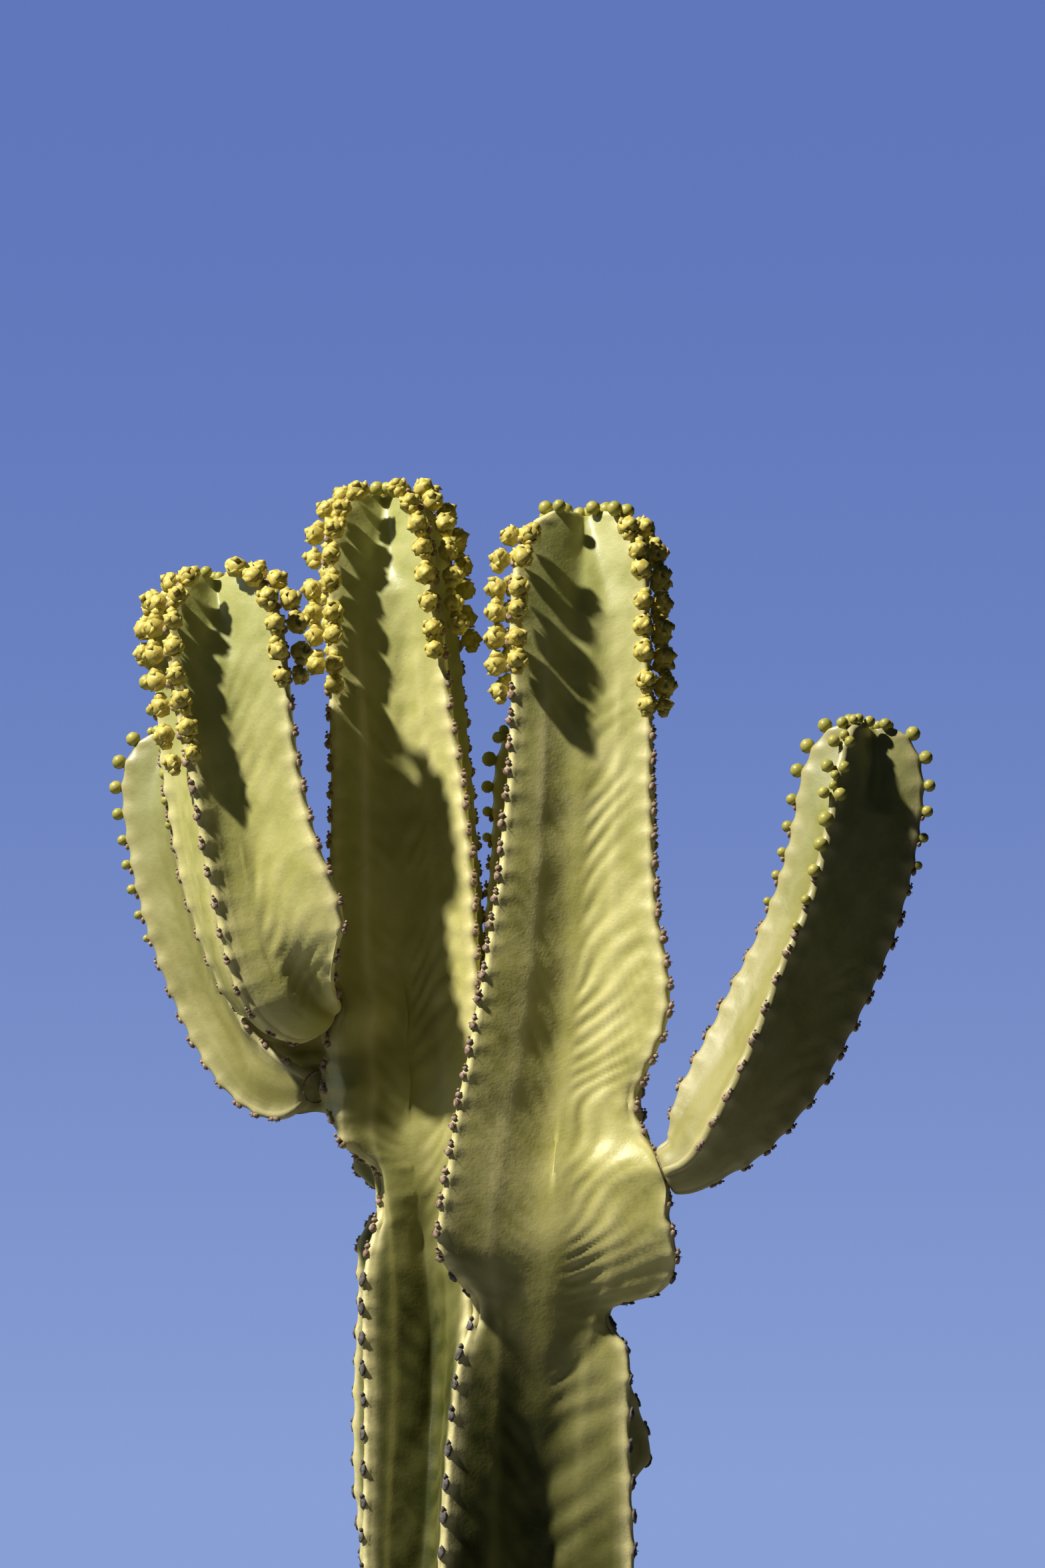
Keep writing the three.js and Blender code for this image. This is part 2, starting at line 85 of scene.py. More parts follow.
limbs = {
    "front_stem": {
        "path": [(52, -20, 1573), (52, -20, 1520), (50, -22, 1460), (45, -25, 1330), (36, -25, 1225),
                 (27, -20, 1128), (19, -11, 1010), (6, -3, 700), (0, 0, 300), (0, 0, 0)],
        "shoulder": 62,
        "reach": [(0, 45), (60, 47), (110, 52), (207, 59), (266, 66), (322, 73), (370, 78), (410, 80), (440, 71),
                  (475, 61), (546, 68), (600, 73), (780, 80), (855, 71), (930, 79), (1130, 86), (1205, 77),
                  (1280, 84), (1430, 88), (1510, 95), (1575, 115)],
        "core": [(0, 20), (60, 24), (150, 26), (300, 27), (370, 31), (405, 33), (445, 26), (475, 23), (600, 19),
                 (855, 22), (1205, 38), (1430, 60), (1510, 76), (1575, 105)],
        "ribs": [
            {"turn": [(0, -139), (400, -140), (460, -139), (600, -128), (1300, -105)],
             "pinches": [(55, -10, 40, 45), (330, 3, 380, 150), (445, 19, 16, 20)],
             "floor": [(0, 0), (140, 0), (200, -2), (290, -2), (340, 1), (385, 5), (435, 8), (480, 6), (560, 3),
                       (720, 0), (1300, 0)]},
            {"turn": [(0, -38), (378, -38), (425, -27), (470, -28), (600, -25), (1300, -45)],
             "pinches": [(200, 4.5, 240, 230), (270, -7, 32, 25), (330, 18, 24, 26), (402, -4, 22, 24),
                         (443, 26, 9, 16), (600, 6, 100, 400)]},
            {"turn": [(0, 43), (450, 40), (600, 38), (1300, 15)],
             "pinches": [(325, 15, 60, 55), (442, 24, 14, 18), (527, -21, 38, 16)]},
            {"turn": [(0, 137), (450, 132), (600, 103), (860, 92), (1300, 75)],
             "pinches": [(446, 22, 14, 20), (700, -6, 150, 250)]},
        ],
    },
    "left_stem": {
        "path": [(-62, 15, 1590), (-59, 15, 1540), (-51, 15, 1432), (-46, 13, 1320), (-38, 9, 1215),
                 (-29, 6, 1127), (-19, 4, 1010), (-6, 2, 700), (0, 0, 300), (0, 0, 0)],
        "shoulder": 62,
        "reach": [(0, 42), (60, 44), (115, 47), (205, 52), (337, 58), (400, 57), (465, 53), (560, 61), (650, 66),
                  (797, 75), (872, 66), (947, 74), (1147, 82), (1222, 74), (1297, 81), (1447, 86), (1527, 94),
                  (1592, 113)],
        "core": [(0, 20), (60, 23), (150, 24), (300, 25), (370, 25), (450, 21), (600, 19), (872, 22), (1222, 38),
                 (1447, 60), (1527, 76), (1592, 104)],
        "ribs": [
            {"turn": [(0, -143), (400, -144), (600, -139), (1300, -140)],
             "pinches": [(390, 26, 14, 40), (640, -7, 140, 900)],
             "floor": [(0, 0), (290, 0), (340, 6), (392, 7), (430, -1), (500, 3), (560, 16), (640, 27), (1000, 28),
                       (1300, 0)],
             "fall": [(0, 2.9), (300, 2.9), (400, 1.5), (1300, 1.5)]},
            {"turn": [(0, -53), (330, -56), (465, -71), (495, -79.5), (530, -89), (592, -96.5), (692, -103.5),
                      (792, -108), (992, -109), (1300, -105)],
             "pinches": [(230, -10, 70, 120), (640, -7, 130, 320)]},
            {"turn": [(0, 37), (400, 48), (592, 70), (692, 78), (792, 82), (992, 83), (1300, 75)],
             "pinches": [(395, 14, 18, 36), (592, 6, 60, 60)]},
            {"turn": [(0, 127), (400, 136), (600, 147), (1300, 135)],
             "pinches": [(398, 22, 12, 14), (500, -12, 75, 90)]},
        ],
    },
    "back_stem": {
        "path": [(37, 75, 1470), (37, 75, 1380), (31, 68, 1303), (20, 50, 1226), (12, 26, 1160)],
        "shoulder": 52,
        "reach": [(0, 37), (60, 39), (160, 42), (230, 42), (330, 30)],
        "core": [(0, 17), (60, 19), (330, 20)],
        "ribs": [{"turn": [(0, turn)], "pinches": []} for turn in (-170, -80, 10, 100)],
    },
    "left_front_arm": {
        "parent": "left_stem",
        "path": [(-154, -43, 1534), (-151, -43, 1482), (-146, -43, 1426), (-138, -43, 1371), (-127, -40, 1327),
                 (-112, -32, 1300), (-93, -16, 1290)],
        "shoulder": 52,
        "reach": [(0, 37), (60, 39), (165, 38), (225, 34), (250, 26), (270, 12.5)],
        "core": [(0, 14), (60, 20), (130, 25), (170, 26), (225, 27), (250, 23), (270, 11)],
        "ribs": [
            {"turn": [(0, -142), (60, -139), (130, -127), (262, -142)],
             "pinches": [(100, 5, 70, 70), (190, 9, 50, 50)],
             "floor": [(0, 0), (70, -1), (130, -5), (180, -7), (225, -6), (262, 0)],
             "dent": {"down": 236, "across": 0.82, "depth": 9, "long": 20, "wide": 0.12}},
            {"turn": [(0, -40), (130, -40), (262, -42)], "pinches": [(90, -11, 260, 105), (208, -24, 60, 28)]},
            {"turn": [(0, 72), (130, 71), (262, 46)], "pinches": [(200, -8, 60, 30)]},
            {"turn": [(0, 170), (130, 162), (262, 140)], "pinches": [(243, -6, 24, 16)]},
        ],
    },
    "left_back_arm": {
        "parent": "left_stem",
        "path": [(-183, 52, 1458), (-179, 50, 1416), (-171, 46, 1377), (-159, 40, 1339), (-142, 34, 1300),
                 (-122, 17, 1267), (-109, 1, 1254), (-98, -12, 1250)],
        "shoulder": 46,
        "reach": [(0, 33), (60, 35), (150, 36), (195, 35), (222, 30), (240, 24), (252, 12.5)],
        "core": [(0, 15), (60, 17), (190, 19), (225, 21), (252, 11)],
        "ribs": [{"turn": [(0, turn)], "pinches": []} for turn in (-99, -9, 81, 171)],
    },
    "right_arm": {
        "parent": "front_stem",
        "path": [(207, -62, 1448), (202, -62, 1406), (195, -63, 1369), (183, -64, 1332), (166, -66, 1296),
                 (146, -69, 1259), (124, -70, 1228), (107, -69, 1208), (93, -68, 1202)],
        "shoulder": 50,
        "reach": [(0, 34), (60, 37), (160, 37), (200, 35), (240, 29), (262, 20), (284, 12.5)],
        "core": [(0, 17), (60, 19), (190, 20), (250, 18), (284, 11)],
        "ribs": [
            {"turn": [(0, -117), (150, -114), (284, -88)], "pinches": []},
            {"turn": [(0, -11), (150, -10), (284, 8)], "pinches": [(80, 2, 150, 200)]},
            {"turn": [(0, 66), (150, 68), (284, 92)], "pinches": []},
            {"turn": [(0, 158), (150, 158), (284, 182)], "pinches": []},
        ],
    },
    "rear_left_arm": {
        "parent": "left_stem",
        "path": [(-54, 112, 1515), (-54, 112, 1443), (-56, 110, 1364), (-62, 102, 1310), (-70, 84, 1270),
                 (-77, 62, 1252)],
        "shoulder": 48,
        "reach": [(0, 32), (60, 35), (170, 37), (240, 32), (268, 24), (290, 12.5)],
        "core": [(0, 16), (60, 18), (200, 19), (290, 11)],
        "ribs": [{"turn": [(0, turn)], "pinches": []} for turn in (-135, -45, 45, 135)],
    },
    "rear_right_arm": {
        "parent": "front_stem",
        "path": [(50, 142, 1405), (50, 141, 1350), (50, 136, 1300), (53, 122, 1252), (63, 98, 1216),
                 (78, 66, 1198), (88, 44, 1194)],
        "shoulder": 46,
        "reach": [(0, 32), (60, 34), (130, 36), (180, 30), (230, 22), (268, 12.5)],
        "core": [(0, 15), (60, 17), (180, 17), (268, 11)],
        "ribs": [{"turn": [(0, turn)], "pinches": []} for turn in (-90, 0, 90, 180)],
    },
}

# what grows on each rib, as [kind, from, to] in mm down its margin; shields take the rest
blossomOn = {
    "front_stem": [[("buds", 0, 33), ("none", 33, 44), ("open", 44, 144)], [("buds", 0, 28), ("open", 28, 146)],
                   [("buds", 0, 28), ("open", 28, 132)], [("buds", 0, 28), ("open", 28, 132)]],
    "left_stem": [[("buds", 0, 17), ("open", 17, 146)], [("buds", 0, 9), ("open", 9, 126)],
                  [("buds", 0, 16), ("open", 16, 132)], [("buds", 0, 16), ("open", 16, 118)]],
    "back_stem": [[("buds", 0, 46), ("bud", 46, 104)]] * 4,
    "left_front_arm": [[("buds", 0, 15), ("open", 15, 140)], [("none", 0, 14), ("open", 14, 104)],
                       [("buds", 0, 20), ("open", 20, 88)], [("buds", 0, 20), ("open", 20, 76), ("bud", 76, 104)]],
    "left_back_arm": [[("buds", 0, 17), ("bud", 17, 104)]] * 3 + [[("buds", 0, 17), ("bud", 17, 146)]],
    "right_arm": [[("buds", 0, 76), ("bud", 76, 146)], [("buds", 0, 17), ("bud", 17, 104)],
                  [("buds", 0, 17), ("bud", 17, 104)], [("buds", 0, 17), ("bud", 17, 132)]],
    "rear_left_arm": [[("buds", 0, 30), ("bud", 30, 104)]] * 4,
    "rear_right_arm": [[("buds", 0, 30), ("bud", 30, 104)]] * 4,
}


# a size at a distance, on the smooth curve through [distance, size] stations
def sizeAt(stations, place):
    at = np.array([s[0] for s in stations], float)
    size = np.array([s[1] for s in stations], float)
    place = np.asarray(place, float)
    last = len(at) - 1
    if last == 0:
        return np.full(place.shape, size[0])
    low = np.maximum(np.arange(last + 1) - 1, 0)
    high = np.minimum(np.arange(last + 1) + 1, last)
    slope = (size[high] - size[low]) / (at[high] - at[low])
    i = np.clip(np.searchsorted(at, place, side="right") - 1, 0, last - 1)
    span = at[i + 1] - at[i]
    t = np.clip((place - at[i]) / span, 0, 1)
    rise = size[i] + (size[i + 1] - size[i]) * t * t * (3 - 2 * t)
    return rise + t * (1 - t) ** 2 * span * slope[i] + t * t * (t - 1) * span * slope[i + 1]


def reachAt(limb, rib, place):
    taken = sum(depth * np.exp(-(((place - at) / np.where(place < at, above, below)) ** 2))
                for at, depth, above, below in rib["pinches"])
    return sizeAt(limb["reach"], place) - taken


notchSet = {"deeperThan": 8, "shorterThan": 70, "grow": 2.6, "keep": 0.42}


# a notch is sharp at the margin only: the face inside it bends in a longer, shallower wave
def faceReachAt(limb, rib, place):
    taken = 0
    for at, depth, above, below in rib["pinches"]:
        narrow = depth > notchSet["deeperThan"] and above + below < notchSet["shorterThan"]
        grow, keep = (notchSet["grow"], notchSet["keep"]) if narrow else (1.0, 1.0)
        taken = taken + keep * depth * np.exp(-(((place - at) / (np.where(place < at, above, below) * grow)) ** 2))
    return sizeAt(limb["reach"], place) - taken


def unit(v):
    return v / np.maximum(np.linalg.norm(v, axis=-1, keepdims=True), 1e-12)


def smooth(value, low, high):
    t = np.clip((value - low) / (high - low), 0, 1)
    return t * t * (3 - 2 * t)


# the middle line of a limb: its length, and a call that gives point, up, across and depth at distances
def middleLine(path):
    points = np.array(path, float)
    padded = np.vstack([2 * points[0] - points[1], points, 2 * points[-1] - points[-2]])
    t = np.linspace(0, 1, 240, endpoint=False)[:, None]
    fine = []
    for i in range(len(points) - 1):
        a, b, c, d = padded[i:i + 4]
        fine.append(0.5 * (2 * b + (c - a) * t + (2 * a - 5 * b + 4 * c - d) * t ** 2
                           + (3 * b - a - 3 * c + d) * t ** 3))
    fine = np.vstack(fine + [points[-1:]])
    run = np.concatenate([[0], np.cumsum(np.linalg.norm(np.diff(fine, axis=0), axis=1))])
    length = run[-1]
    pointAt = lambda s: np.stack([np.interp(s, run, fine[:, k]) for k in range(3)], -1)
    stops = np.linspace(0, length, math.ceil(length / 4) + 1)
    centre = pointAt(stops)
    up = unit(pointAt(np.maximum(stops - 0.5, 0)) - pointAt(np.minimum(stops + 0.5, length)))
    across = [np.array([1.0, 0, 0])]
    for k in range(len(stops)):
        across.append(unit(across[-1] - up[k] * across[-1].dot(up[k])))
    across = np.array(across[1:])
    depth = np.cross(up, across)

    def at(distance):
        place = np.clip(np.asarray(distance, float) / length * (len(stops) - 1), 0, len(stops) - 1 - 1e-9)
        i = place.astype(int)
        w = (place - i)[..., None]
        mix = lambda table: table[i] * (1 - w) + table[i + 1] * w
        return mix(centre), unit(mix(up)), unit(mix(across)), unit(mix(depth))

    return length, at


# skin of every limb
skinSet = {
    "rowGap": {"front_stem": 1.6, "left_stem": 1.7}, "armRowGap": 2.0, "trunkRowGap": 2.6, "trunkFrom": 480,
    "domeRows": 34, "faceColumns": {"front_stem": 48, "left_stem": 44}, "armFaceColumns": 36, "capColumns": 5,
    # the slanted ridges: how steep, how high down a stem, and how strong on each limb
    "ridgeSlope": [(0, 1.1), (200, 0.95), (290, 0.92), (368, 0.9), (400, 0.75), (425, 0.6), (445, 0.6), (480, 0.66),
                   (900, 0.7)],
    "armRidgeSlope": 1.1, "ridgeHeight": 1.0, "ridgeGap": 11, "ridgeWander": 4.2, "ridgeBefore": 0.35,
    "ridgeAlong": [(60, 0.35), (150, 0.55), (230, 0.8), (300, 1.0), (350, 0.75), (430, 0.55), (480, 0.65), (540, 1.1),
                   (900, 1.1)],
    "ridgeBy": {"front_stem": 1.0, "left_stem": 0.9, "back_stem": 0.6, "left_front_arm": 0.85, "left_back_arm": 0.5,
                "right_arm": 0.35, "rear_left_arm": 0.5, "rear_right_arm": 0.5},
    # the areoles: their pitch, and the tooth that each one makes in the margin
    "pitch": {"stem": [(0, 13.0), (40, 14.8), (150, 14.4), (400, 14.4), (560, 18.4)],
              "arm": [(0, 13.0), (40, 14.8), (90, 14.8), (170, 16.6)]}, "pitchStray": 0.9,
    "toothHeight": 1.5, "toothLength": 3.6, "toothSink": 0.35, "toothWidth": 0.3,
    # the pale vein beside each margin, the uneven line of the margin, and the face's own lumps
    "veinPlace": 0.13, "veinWidth": 0.03, "veinHeight": 0.35,
    "veinBy": {"right_arm": 0.2, "left_front_arm": 0.35, "left_back_arm": 0.3},
    "sway": 0.7, "lump": 0.45,
    # a margin's width, thinner by slim from slimFrom on, and thicker where an arm sits on it
    "marginShare": 0.92, "slim": 0.22, "slimFrom": 380, "swell": 7.4, "swellAlong": 15.0, "swellIn": 30.0,
    "endGap": 3.2, "rimRadius": 3.0, "rimRows": 4, "rimShare": 0.26,   # the rounded rim at an arm's joint
    "edgeFade": 4.0, "spotFade": 5.0, "freshFade": 90,   # how far the edge's, spots' and young skin's tones reach
}


# slow waves that never repeat, for everything that isn't quite even
def waves(seed, a, b, lengthA, lengthB):
    dice = np.random.default_rng(seed)
    total = 0
    for k in range(6):
        turnA, turnB = dice.normal(0, 1, 2)
        total = total + np.sin(a * turnA * 6.28 / lengthA + b * turnB * 6.28 / lengthB + dice.uniform(0, 6.28))
    return total / 3.0


# rows of a limb as (lean or nan, distance, share of its full reach)
def rowsOf(name, limb, length):
    shoulder = limb["shoulder"]
    rows = [(math.pi / 2 * (1 - k / skinSet["domeRows"]), shoulder, 1.0) for k in range(skinSet["domeRows"])]
    d = shoulder
    stop = length - (skinSet["endGap"] if "parent" in limb else 0)
    while d < stop - 1:
        rows.append((math.nan, d, 1.0))
        d += skinSet["rowGap"].get(name, skinSet["armRowGap"]) if d < skinSet["trunkFrom"] else skinSet["trunkRowGap"]
    rows.append((math.nan, stop, 1.0))
    if "parent" in limb:  # the joint's rim is rounded
        for k in range(1, skinSet["rimRows"] + 1):
            a = math.pi / 2 * k / skinSet["rimRows"]
            kept = 1 - skinSet["rimShare"] * (1 - math.cos(a))
            rows.append((math.nan, stop + skinSet["rimRadius"] * math.sin(a), kept))
    return np.array(rows)


# how far edges and valleys lie out and down in each row, for one rib
def ringsOf(limb, rib, rows):
    lean, distance = np.nan_to_num(rows[:, 0]), rows[:, 1]
    dome = ~np.isnan(rows[:, 0])
    shoulder = float(limb["shoulder"])
    full = float(reachAt(limb, rib, np.array(shoulder)))
    apex, dip, power = shared["apexRadius"], shared["apexDip"], shared["domePower"]
    edgeTop = apex + (full - apex) * np.cos(lean) ** power
    edgeDownTop = shoulder * (1 - np.sin(lean) ** power) + dip * smooth(1 - edgeTop / full, 0.5, 1)
    coreTop = float(sizeAt(limb["core"], shoulder))
    valleyTop = apex + (coreTop - apex) * (1 - np.sin(lean)) ** shared["apexPower"]
    valleyDownTop = shoulder - (shoulder - dip) * np.sin(lean)
    return (np.where(dome, edgeTop, reachAt(limb, rib, distance)), np.where(dome, edgeDownTop, distance),
            np.where(dome, valleyTop, sizeAt(limb["core"], distance)), np.where(dome, valleyDownTop, distance),
            np.where(dome, edgeTop, faceReachAt(limb, rib, distance)))


def placed(at, down, angle, out, edgeAngle, shift, share):
    point, _, across, depth = at(down)
    x = (np.cos(angle) * out - np.sin(edgeAngle) * shift) * share
    y = (np.sin(angle) * out + np.cos(edgeAngle) * shift) * share
    return point + across * x[..., None] + depth * y[..., None]


bossSet = {"flat": 8.8, "foot": 25.0, "shallow": 3.0, "deep": 27.0, "front": -14}


# the skin near an arm's joint is drawn out to the joint's plane, flat in the middle and easing away around it
def drawBoss(grid, arm):
    armLength, armAt = middleLine(arm["path"])
    centre, up, _, _ = (v[0] for v in armAt(np.array([armLength])))
    away = grid - (centre - up * shared["jointGap"])
    behind = -(away @ up)
    around = np.linalg.norm(away + behind[..., None] * up, axis=-1)
    pull = (1 - smooth(around, bossSet["flat"], bossSet["foot"])) * (behind > bossSet["front"])
    pull = pull * (1 - smooth(behind, bossSet["shallow"], bossSet["deep"]))
    return grid + up * (behind * pull)[..., None]


# all points of a limb's skin as a grid, its tones, and the line of areoles along each rib
def limbSkin(name, seed):
    limb = limbs[name]
    length, at = middleLine(limb["path"])
    rows = rowsOf(name, limb, length)
    count = len(limb["ribs"])
    isArm = "parent" in limb or name == "back_stem"
    rings = [ringsOf(limb, rib, rows) for rib in limb["ribs"]]
    margins, runs, areoles = [], [], []
    for rib, ring in zip(limb["ribs"], rings):
        angle = np.radians(sizeAt(rib["turn"], ring[1]))
        line = placed(at, ring[1], angle, ring[0], angle, np.zeros(len(rows)), rows[:, 2])
        run = np.concatenate([[0], np.cumsum(np.linalg.norm(np.diff(line, axis=0), axis=1))])
        pitch = skinSet["pitch"]["arm" if isArm else "stem"]
        places, s = [], shared["firstAreole"]
        while s < run[-1]:
            places.append(s + (rng.uniform(-skinSet["pitchStray"], skinSet["pitchStray"]) if s > 40 else 0))
            s += float(sizeAt(pitch, s))
        margins.append(line)
        runs.append(run)
        areoles.append(np.array(places))

    # where along each rib an arm sits
    joints = [[] for _ in limb["ribs"]]
    for arm in limbs.values():
        if arm.get("parent") == name:
            gaps = [np.linalg.norm(line - np.array(arm["path"][-1]), axis=1) for line in margins]
            rib = int(np.argmin([g.min() for g in gaps]))
            joints[rib].append(runs[rib][int(np.argmin(gaps[rib]))])

    def swellAt(rib, s, inward):
        fade = (inward / skinSet["swellIn"]) ** 2
        return sum((skinSet["swell"] * np.exp(-(((s - j) / skinSet["swellAlong"]) ** 2) - fade) for j in joints[rib]),
                   0 * s)

    knots = []  # ridges start at areoles, never closer than a finger's width
    for rib in range(count):
        found = [0.0]
        for d in np.interp(areoles[rib], runs[rib], rings[rib][1]):
            if d - found[-1] > skinSet["ridgeGap"]:
                found.append(float(d))
        knots.append(np.array(found))

    def toothAt(rib, s):
        after = np.clip(np.searchsorted(areoles[rib], s), 1, len(areoles[rib]) - 1)
        away = np.minimum(np.abs(s - areoles[rib][after - 1]), np.abs(s - areoles[rib][after]))
        return np.exp(-((away / skinSet["toothLength"]) ** 2))

    capHeight = shared["capHeight"]
    half = shared["marginHalf"]
    columns, marginColumns, heights = [], [], []
    tones = {"edge": [], "streakAndHighlight": [], "spot": [], "vein": []}
    ridges = skinSet["ridgeBy"][name] * skinSet["ridgeHeight"]
    for face in range(count):
        rib = limb["ribs"][face]
        following = (face + 1) % count
        edge, edgeDown = rings[face][:2]
        tooth = toothAt(face, runs[face])
        nearJoint = smooth(length - rows[:, 1], 6, 30) if "parent" in limb else np.ones(len(rows))
        atTop = smooth(edge, 8, 22)
        tall = capHeight * np.minimum(1, edge / 16)
        slim = skinSet["marginShare"]
        if not isArm:  # the trunk's ribs are thinner at the edge
            slim = slim * (1 - skinSet["slim"] * smooth(edgeDown, skinSet["slimFrom"], skinSet["trunkFrom"]))
        thick = np.minimum(half, edge / 2) * (slim + skinSet["toothWidth"] * tooth * atTop * nearJoint)
        thick = thick + swellAt(face, runs[face], 0)
        angle = np.radians(sizeAt(rib["turn"], edgeDown))
        sway = skinSet["sway"] * waves(seed + face, edgeDown, edgeDown * 0, 60, 60) * atTop * nearJoint
        # the rounded edge
        turns = np.linspace(0, math.pi, skinSet["capColumns"] + 2)[1:-1]
        marginColumns.append(sum(len(c) for c in columns) + len(turns) // 2)
        block = []
        for beta in turns:
            rise = skinSet["toothHeight"] * (tooth - skinSet["toothSink"]) * atTop * nearJoint * math.sin(beta)
            block.append(placed(at, edgeDown, angle, edge - tall + tall * math.sin(beta) + rise, angle,
                                -thick * math.cos(beta) + sway, rows[:, 2]))
            none = np.zeros(len(rows))
            heights.append(none)
            for key, value in (("edge", none + 1), ("streakAndHighlight", none), ("spot", tooth * atTop * 0.8), ("vein", none)):
                tones[key].append(value)
        columns.append(block)
        # the face, from this rib to the next
        steps = np.linspace(0, 1, skinSet["faceColumns"].get(name, skinSet["armFaceColumns"]) + 1)
        steps = steps - 0.5 * np.sin(2 * math.pi * steps) * 0.06
        block = []
        for t in steps:
            side = face if t < 0.5 else following
            edge, edgeDown, valley, valleyDown, soft = rings[side]
            tall = capHeight * np.minimum(1, edge / 16)
            tooth = toothAt(side, runs[side])
            atTop = smooth(edge, 8, 22)
            power = shared["wingPowers"][0 if t < 0.5 else 1]
            if t < 0.5 and "fall" in rib:
                power = sizeAt(rib["fall"], valleyDown)
            wing = 0.2 * abs(2 * t - 1) ** 2 + 0.8 * abs(2 * t - 1) ** power
            valley = valley + sizeAt(rib.get("floor", [(0, 0), (1, 0)]), valleyDown)
            out = valley + (soft - tall - valley) * wing + (edge - soft) * wing ** 3
            down = valleyDown + (edgeDown - valleyDown) * wing
            start = sizeAt(rib["turn"], down)
            sweep = np.mod(sizeAt(limb["ribs"][following]["turn"], down) - start, 360)
            angle = np.radians(start + sweep * t)
            edgeAngle = np.radians(start if t < 0.5 else start + sweep)
            inward = edge - tall - out
            hand = 1 if t < 0.5 else -1
            swell = skinSet["toothWidth"] * tooth * np.exp(-((inward / 4.5) ** 2)) * atTop * nearJoint
            sway = skinSet["sway"] * waves(seed + side, edgeDown, edgeDown * 0, 60, 60) * atTop * nearJoint
            shift = hand * np.minimum(half, edge / 2) * (wing * slim + swell) + sway * wing
            shift = shift + hand * swellAt(side, runs[side], inward)
            base = placed(at, down, angle, out, edgeAngle, shift, rows[:, 2])
            block.append(base)
            across = np.linalg.norm(base - margins[side], axis=1) - tall
            # ridges that run down and in from each areole
            wander = skinSet["ridgeWander"] * waves(seed + 11 + side + 4 * hand, down, across, 120, 70)
            slope = skinSet["armRidgeSlope"] if isArm else sizeAt(skinSet["ridgeSlope"], down)
            source = down - slope * across * (0.85 + 0.3 * across / 60) + wander
            phase = np.interp(source, knots[side], np.arange(len(knots[side])))
            phase = phase - 0.05 * np.sin(2 * math.pi * phase)  # steeper below than above
            ridge = (0.5 + 0.5 * np.cos(2 * math.pi * phase)) ** 1.3
            middle = 1 - abs(2 * t - 1)
            there = smooth(inward, 1, 13) * (1 - smooth(middle, 0.6, 0.97)) * nearJoint
            there = there * (0.35 + 0.65 * smooth(rows[:, 1], limb["shoulder"], limb["shoulder"] + 110))
            uneven = np.clip(0.85 + 0.45 * waves(seed + 29 + side + 4 * hand, down, across, 80, 60), 0.2, 1.5)
            strong = 1.0 if hand < 0 else skinSet["ridgeBefore"]
            if not isArm:
                strong = strong * sizeAt(skinSet["ridgeAlong"], down)
            vein = np.exp(-(((t if hand > 0 else 1 - t) - skinSet["veinPlace"]) / skinSet["veinWidth"]) ** 2)
            vein = vein * smooth(rows[:, 1], 60, 130) * nearJoint * skinSet["veinBy"].get(name, 1.0)
            lumps = skinSet["lump"] * waves(seed + 53 + face, down, (t - 0.5) * 80 + down * 0, 45, 38)
            lumps = lumps * smooth(inward, 4, 20) * nearJoint
            if "dent" in rib:
                dent = rib["dent"]
                fade = ((down - dent["down"]) / dent["long"]) ** 2 + ((t - dent["across"]) / dent["wide"]) ** 2
                lumps = lumps - dent["depth"] * np.exp(-fade)
            heights.append(ridges * strong * there * uneven * (ridge - 0.4) + skinSet["veinHeight"] * vein + lumps)
            tones["edge"].append(np.exp(-((np.maximum(across, 0) / skinSet["edgeFade"]) ** 2)))
            # the streak tone paints the ridge crests paler: partly the skin's own pale streaks, partly painted
            # highlight
            tones["streakAndHighlight"].append(ridge * there * uneven * skinSet["ridgeBy"][name])
            tones["spot"].append(tooth * np.exp(-((np.maximum(across, 0) / skinSet["spotFade"]) ** 2)) * atTop)
            tones["vein"].append(vein * (1 if hand > 0 else 0.4))
        columns.append(block)
    grid = np.stack([column for block in columns for column in block], 1)
    heights = np.stack(heights, 1)
    tones = {key: np.stack(value, 1) for key, value in tones.items()}
    fade = np.exp(-((rows[:, 1] - limb["shoulder"]) / skinSet["freshFade"]))
    tones["fresh"] = np.repeat(np.where(np.isnan(rows[:, 0]), fade, 1.0)[:, None], grid.shape[1], 1)
    along = np.gradient(grid, axis=0)
    around = np.roll(grid, -1, 1) - np.roll(grid, 1, 1)
    normals = unit(np.cross(around, along))
    outward = np.sum(normals * (grid - at(rows[:, 1])[0][:, None, :]), -1)
    if outward[len(rows) // 2].sum() < 0:
        normals = -normals
    grid = grid + normals * heights[..., None]
    for arm in limbs.values():
        if arm.get("parent") == name:
            grid = drawBoss(grid, arm)
    lines = []
    for side, column in enumerate(marginColumns):
        lines.append({"run": runs[side], "points": grid[:, column], "out": normals[:, column],
                      "areoles": areoles[side], "down": rings[side][1]})
    centres = at(rows[:, 1])[0]
    tip = at(np.array([shared["apexDip"] + 0.6]))[0]
    return {"grid": grid, "tones": tones, "rows": rows, "centres": centres, "tip": tip, "lines": lines, "at": at,
            "length": length}


# a closed tube: a grid bent to the given rows of points, its seam and ends drawn together
def addTube(bm, grid, tones):
    rows, columns = grid.shape[:2]
    layers = {key: bm.verts.layers.float.get(key) or bm.verts.layers.float.new(key) for key in tones}
    made = bmesh.ops.create_grid(bm, x_segments=rows - 1, y_segments=columns, size=1.0)["verts"]
    places = (grid * mm).tolist()
    values = {key: tone.tolist() for key, tone in tones.items()}
    seam = []
    for v in made:
        r = round((v.co.x + 1) / 2 * (rows - 1))
        c = round((v.co.y + 1) / 2 * columns)
        if r in (0, rows - 1) or c in (0, columns):
            seam.append(v)
        c %= columns
        v.co = places[r][c]
        for key, layer in layers.items():
            v[layer] = values[key][r][c]
    bmesh.ops.remove_doubles(bm, verts=seam, dist=1e-6)


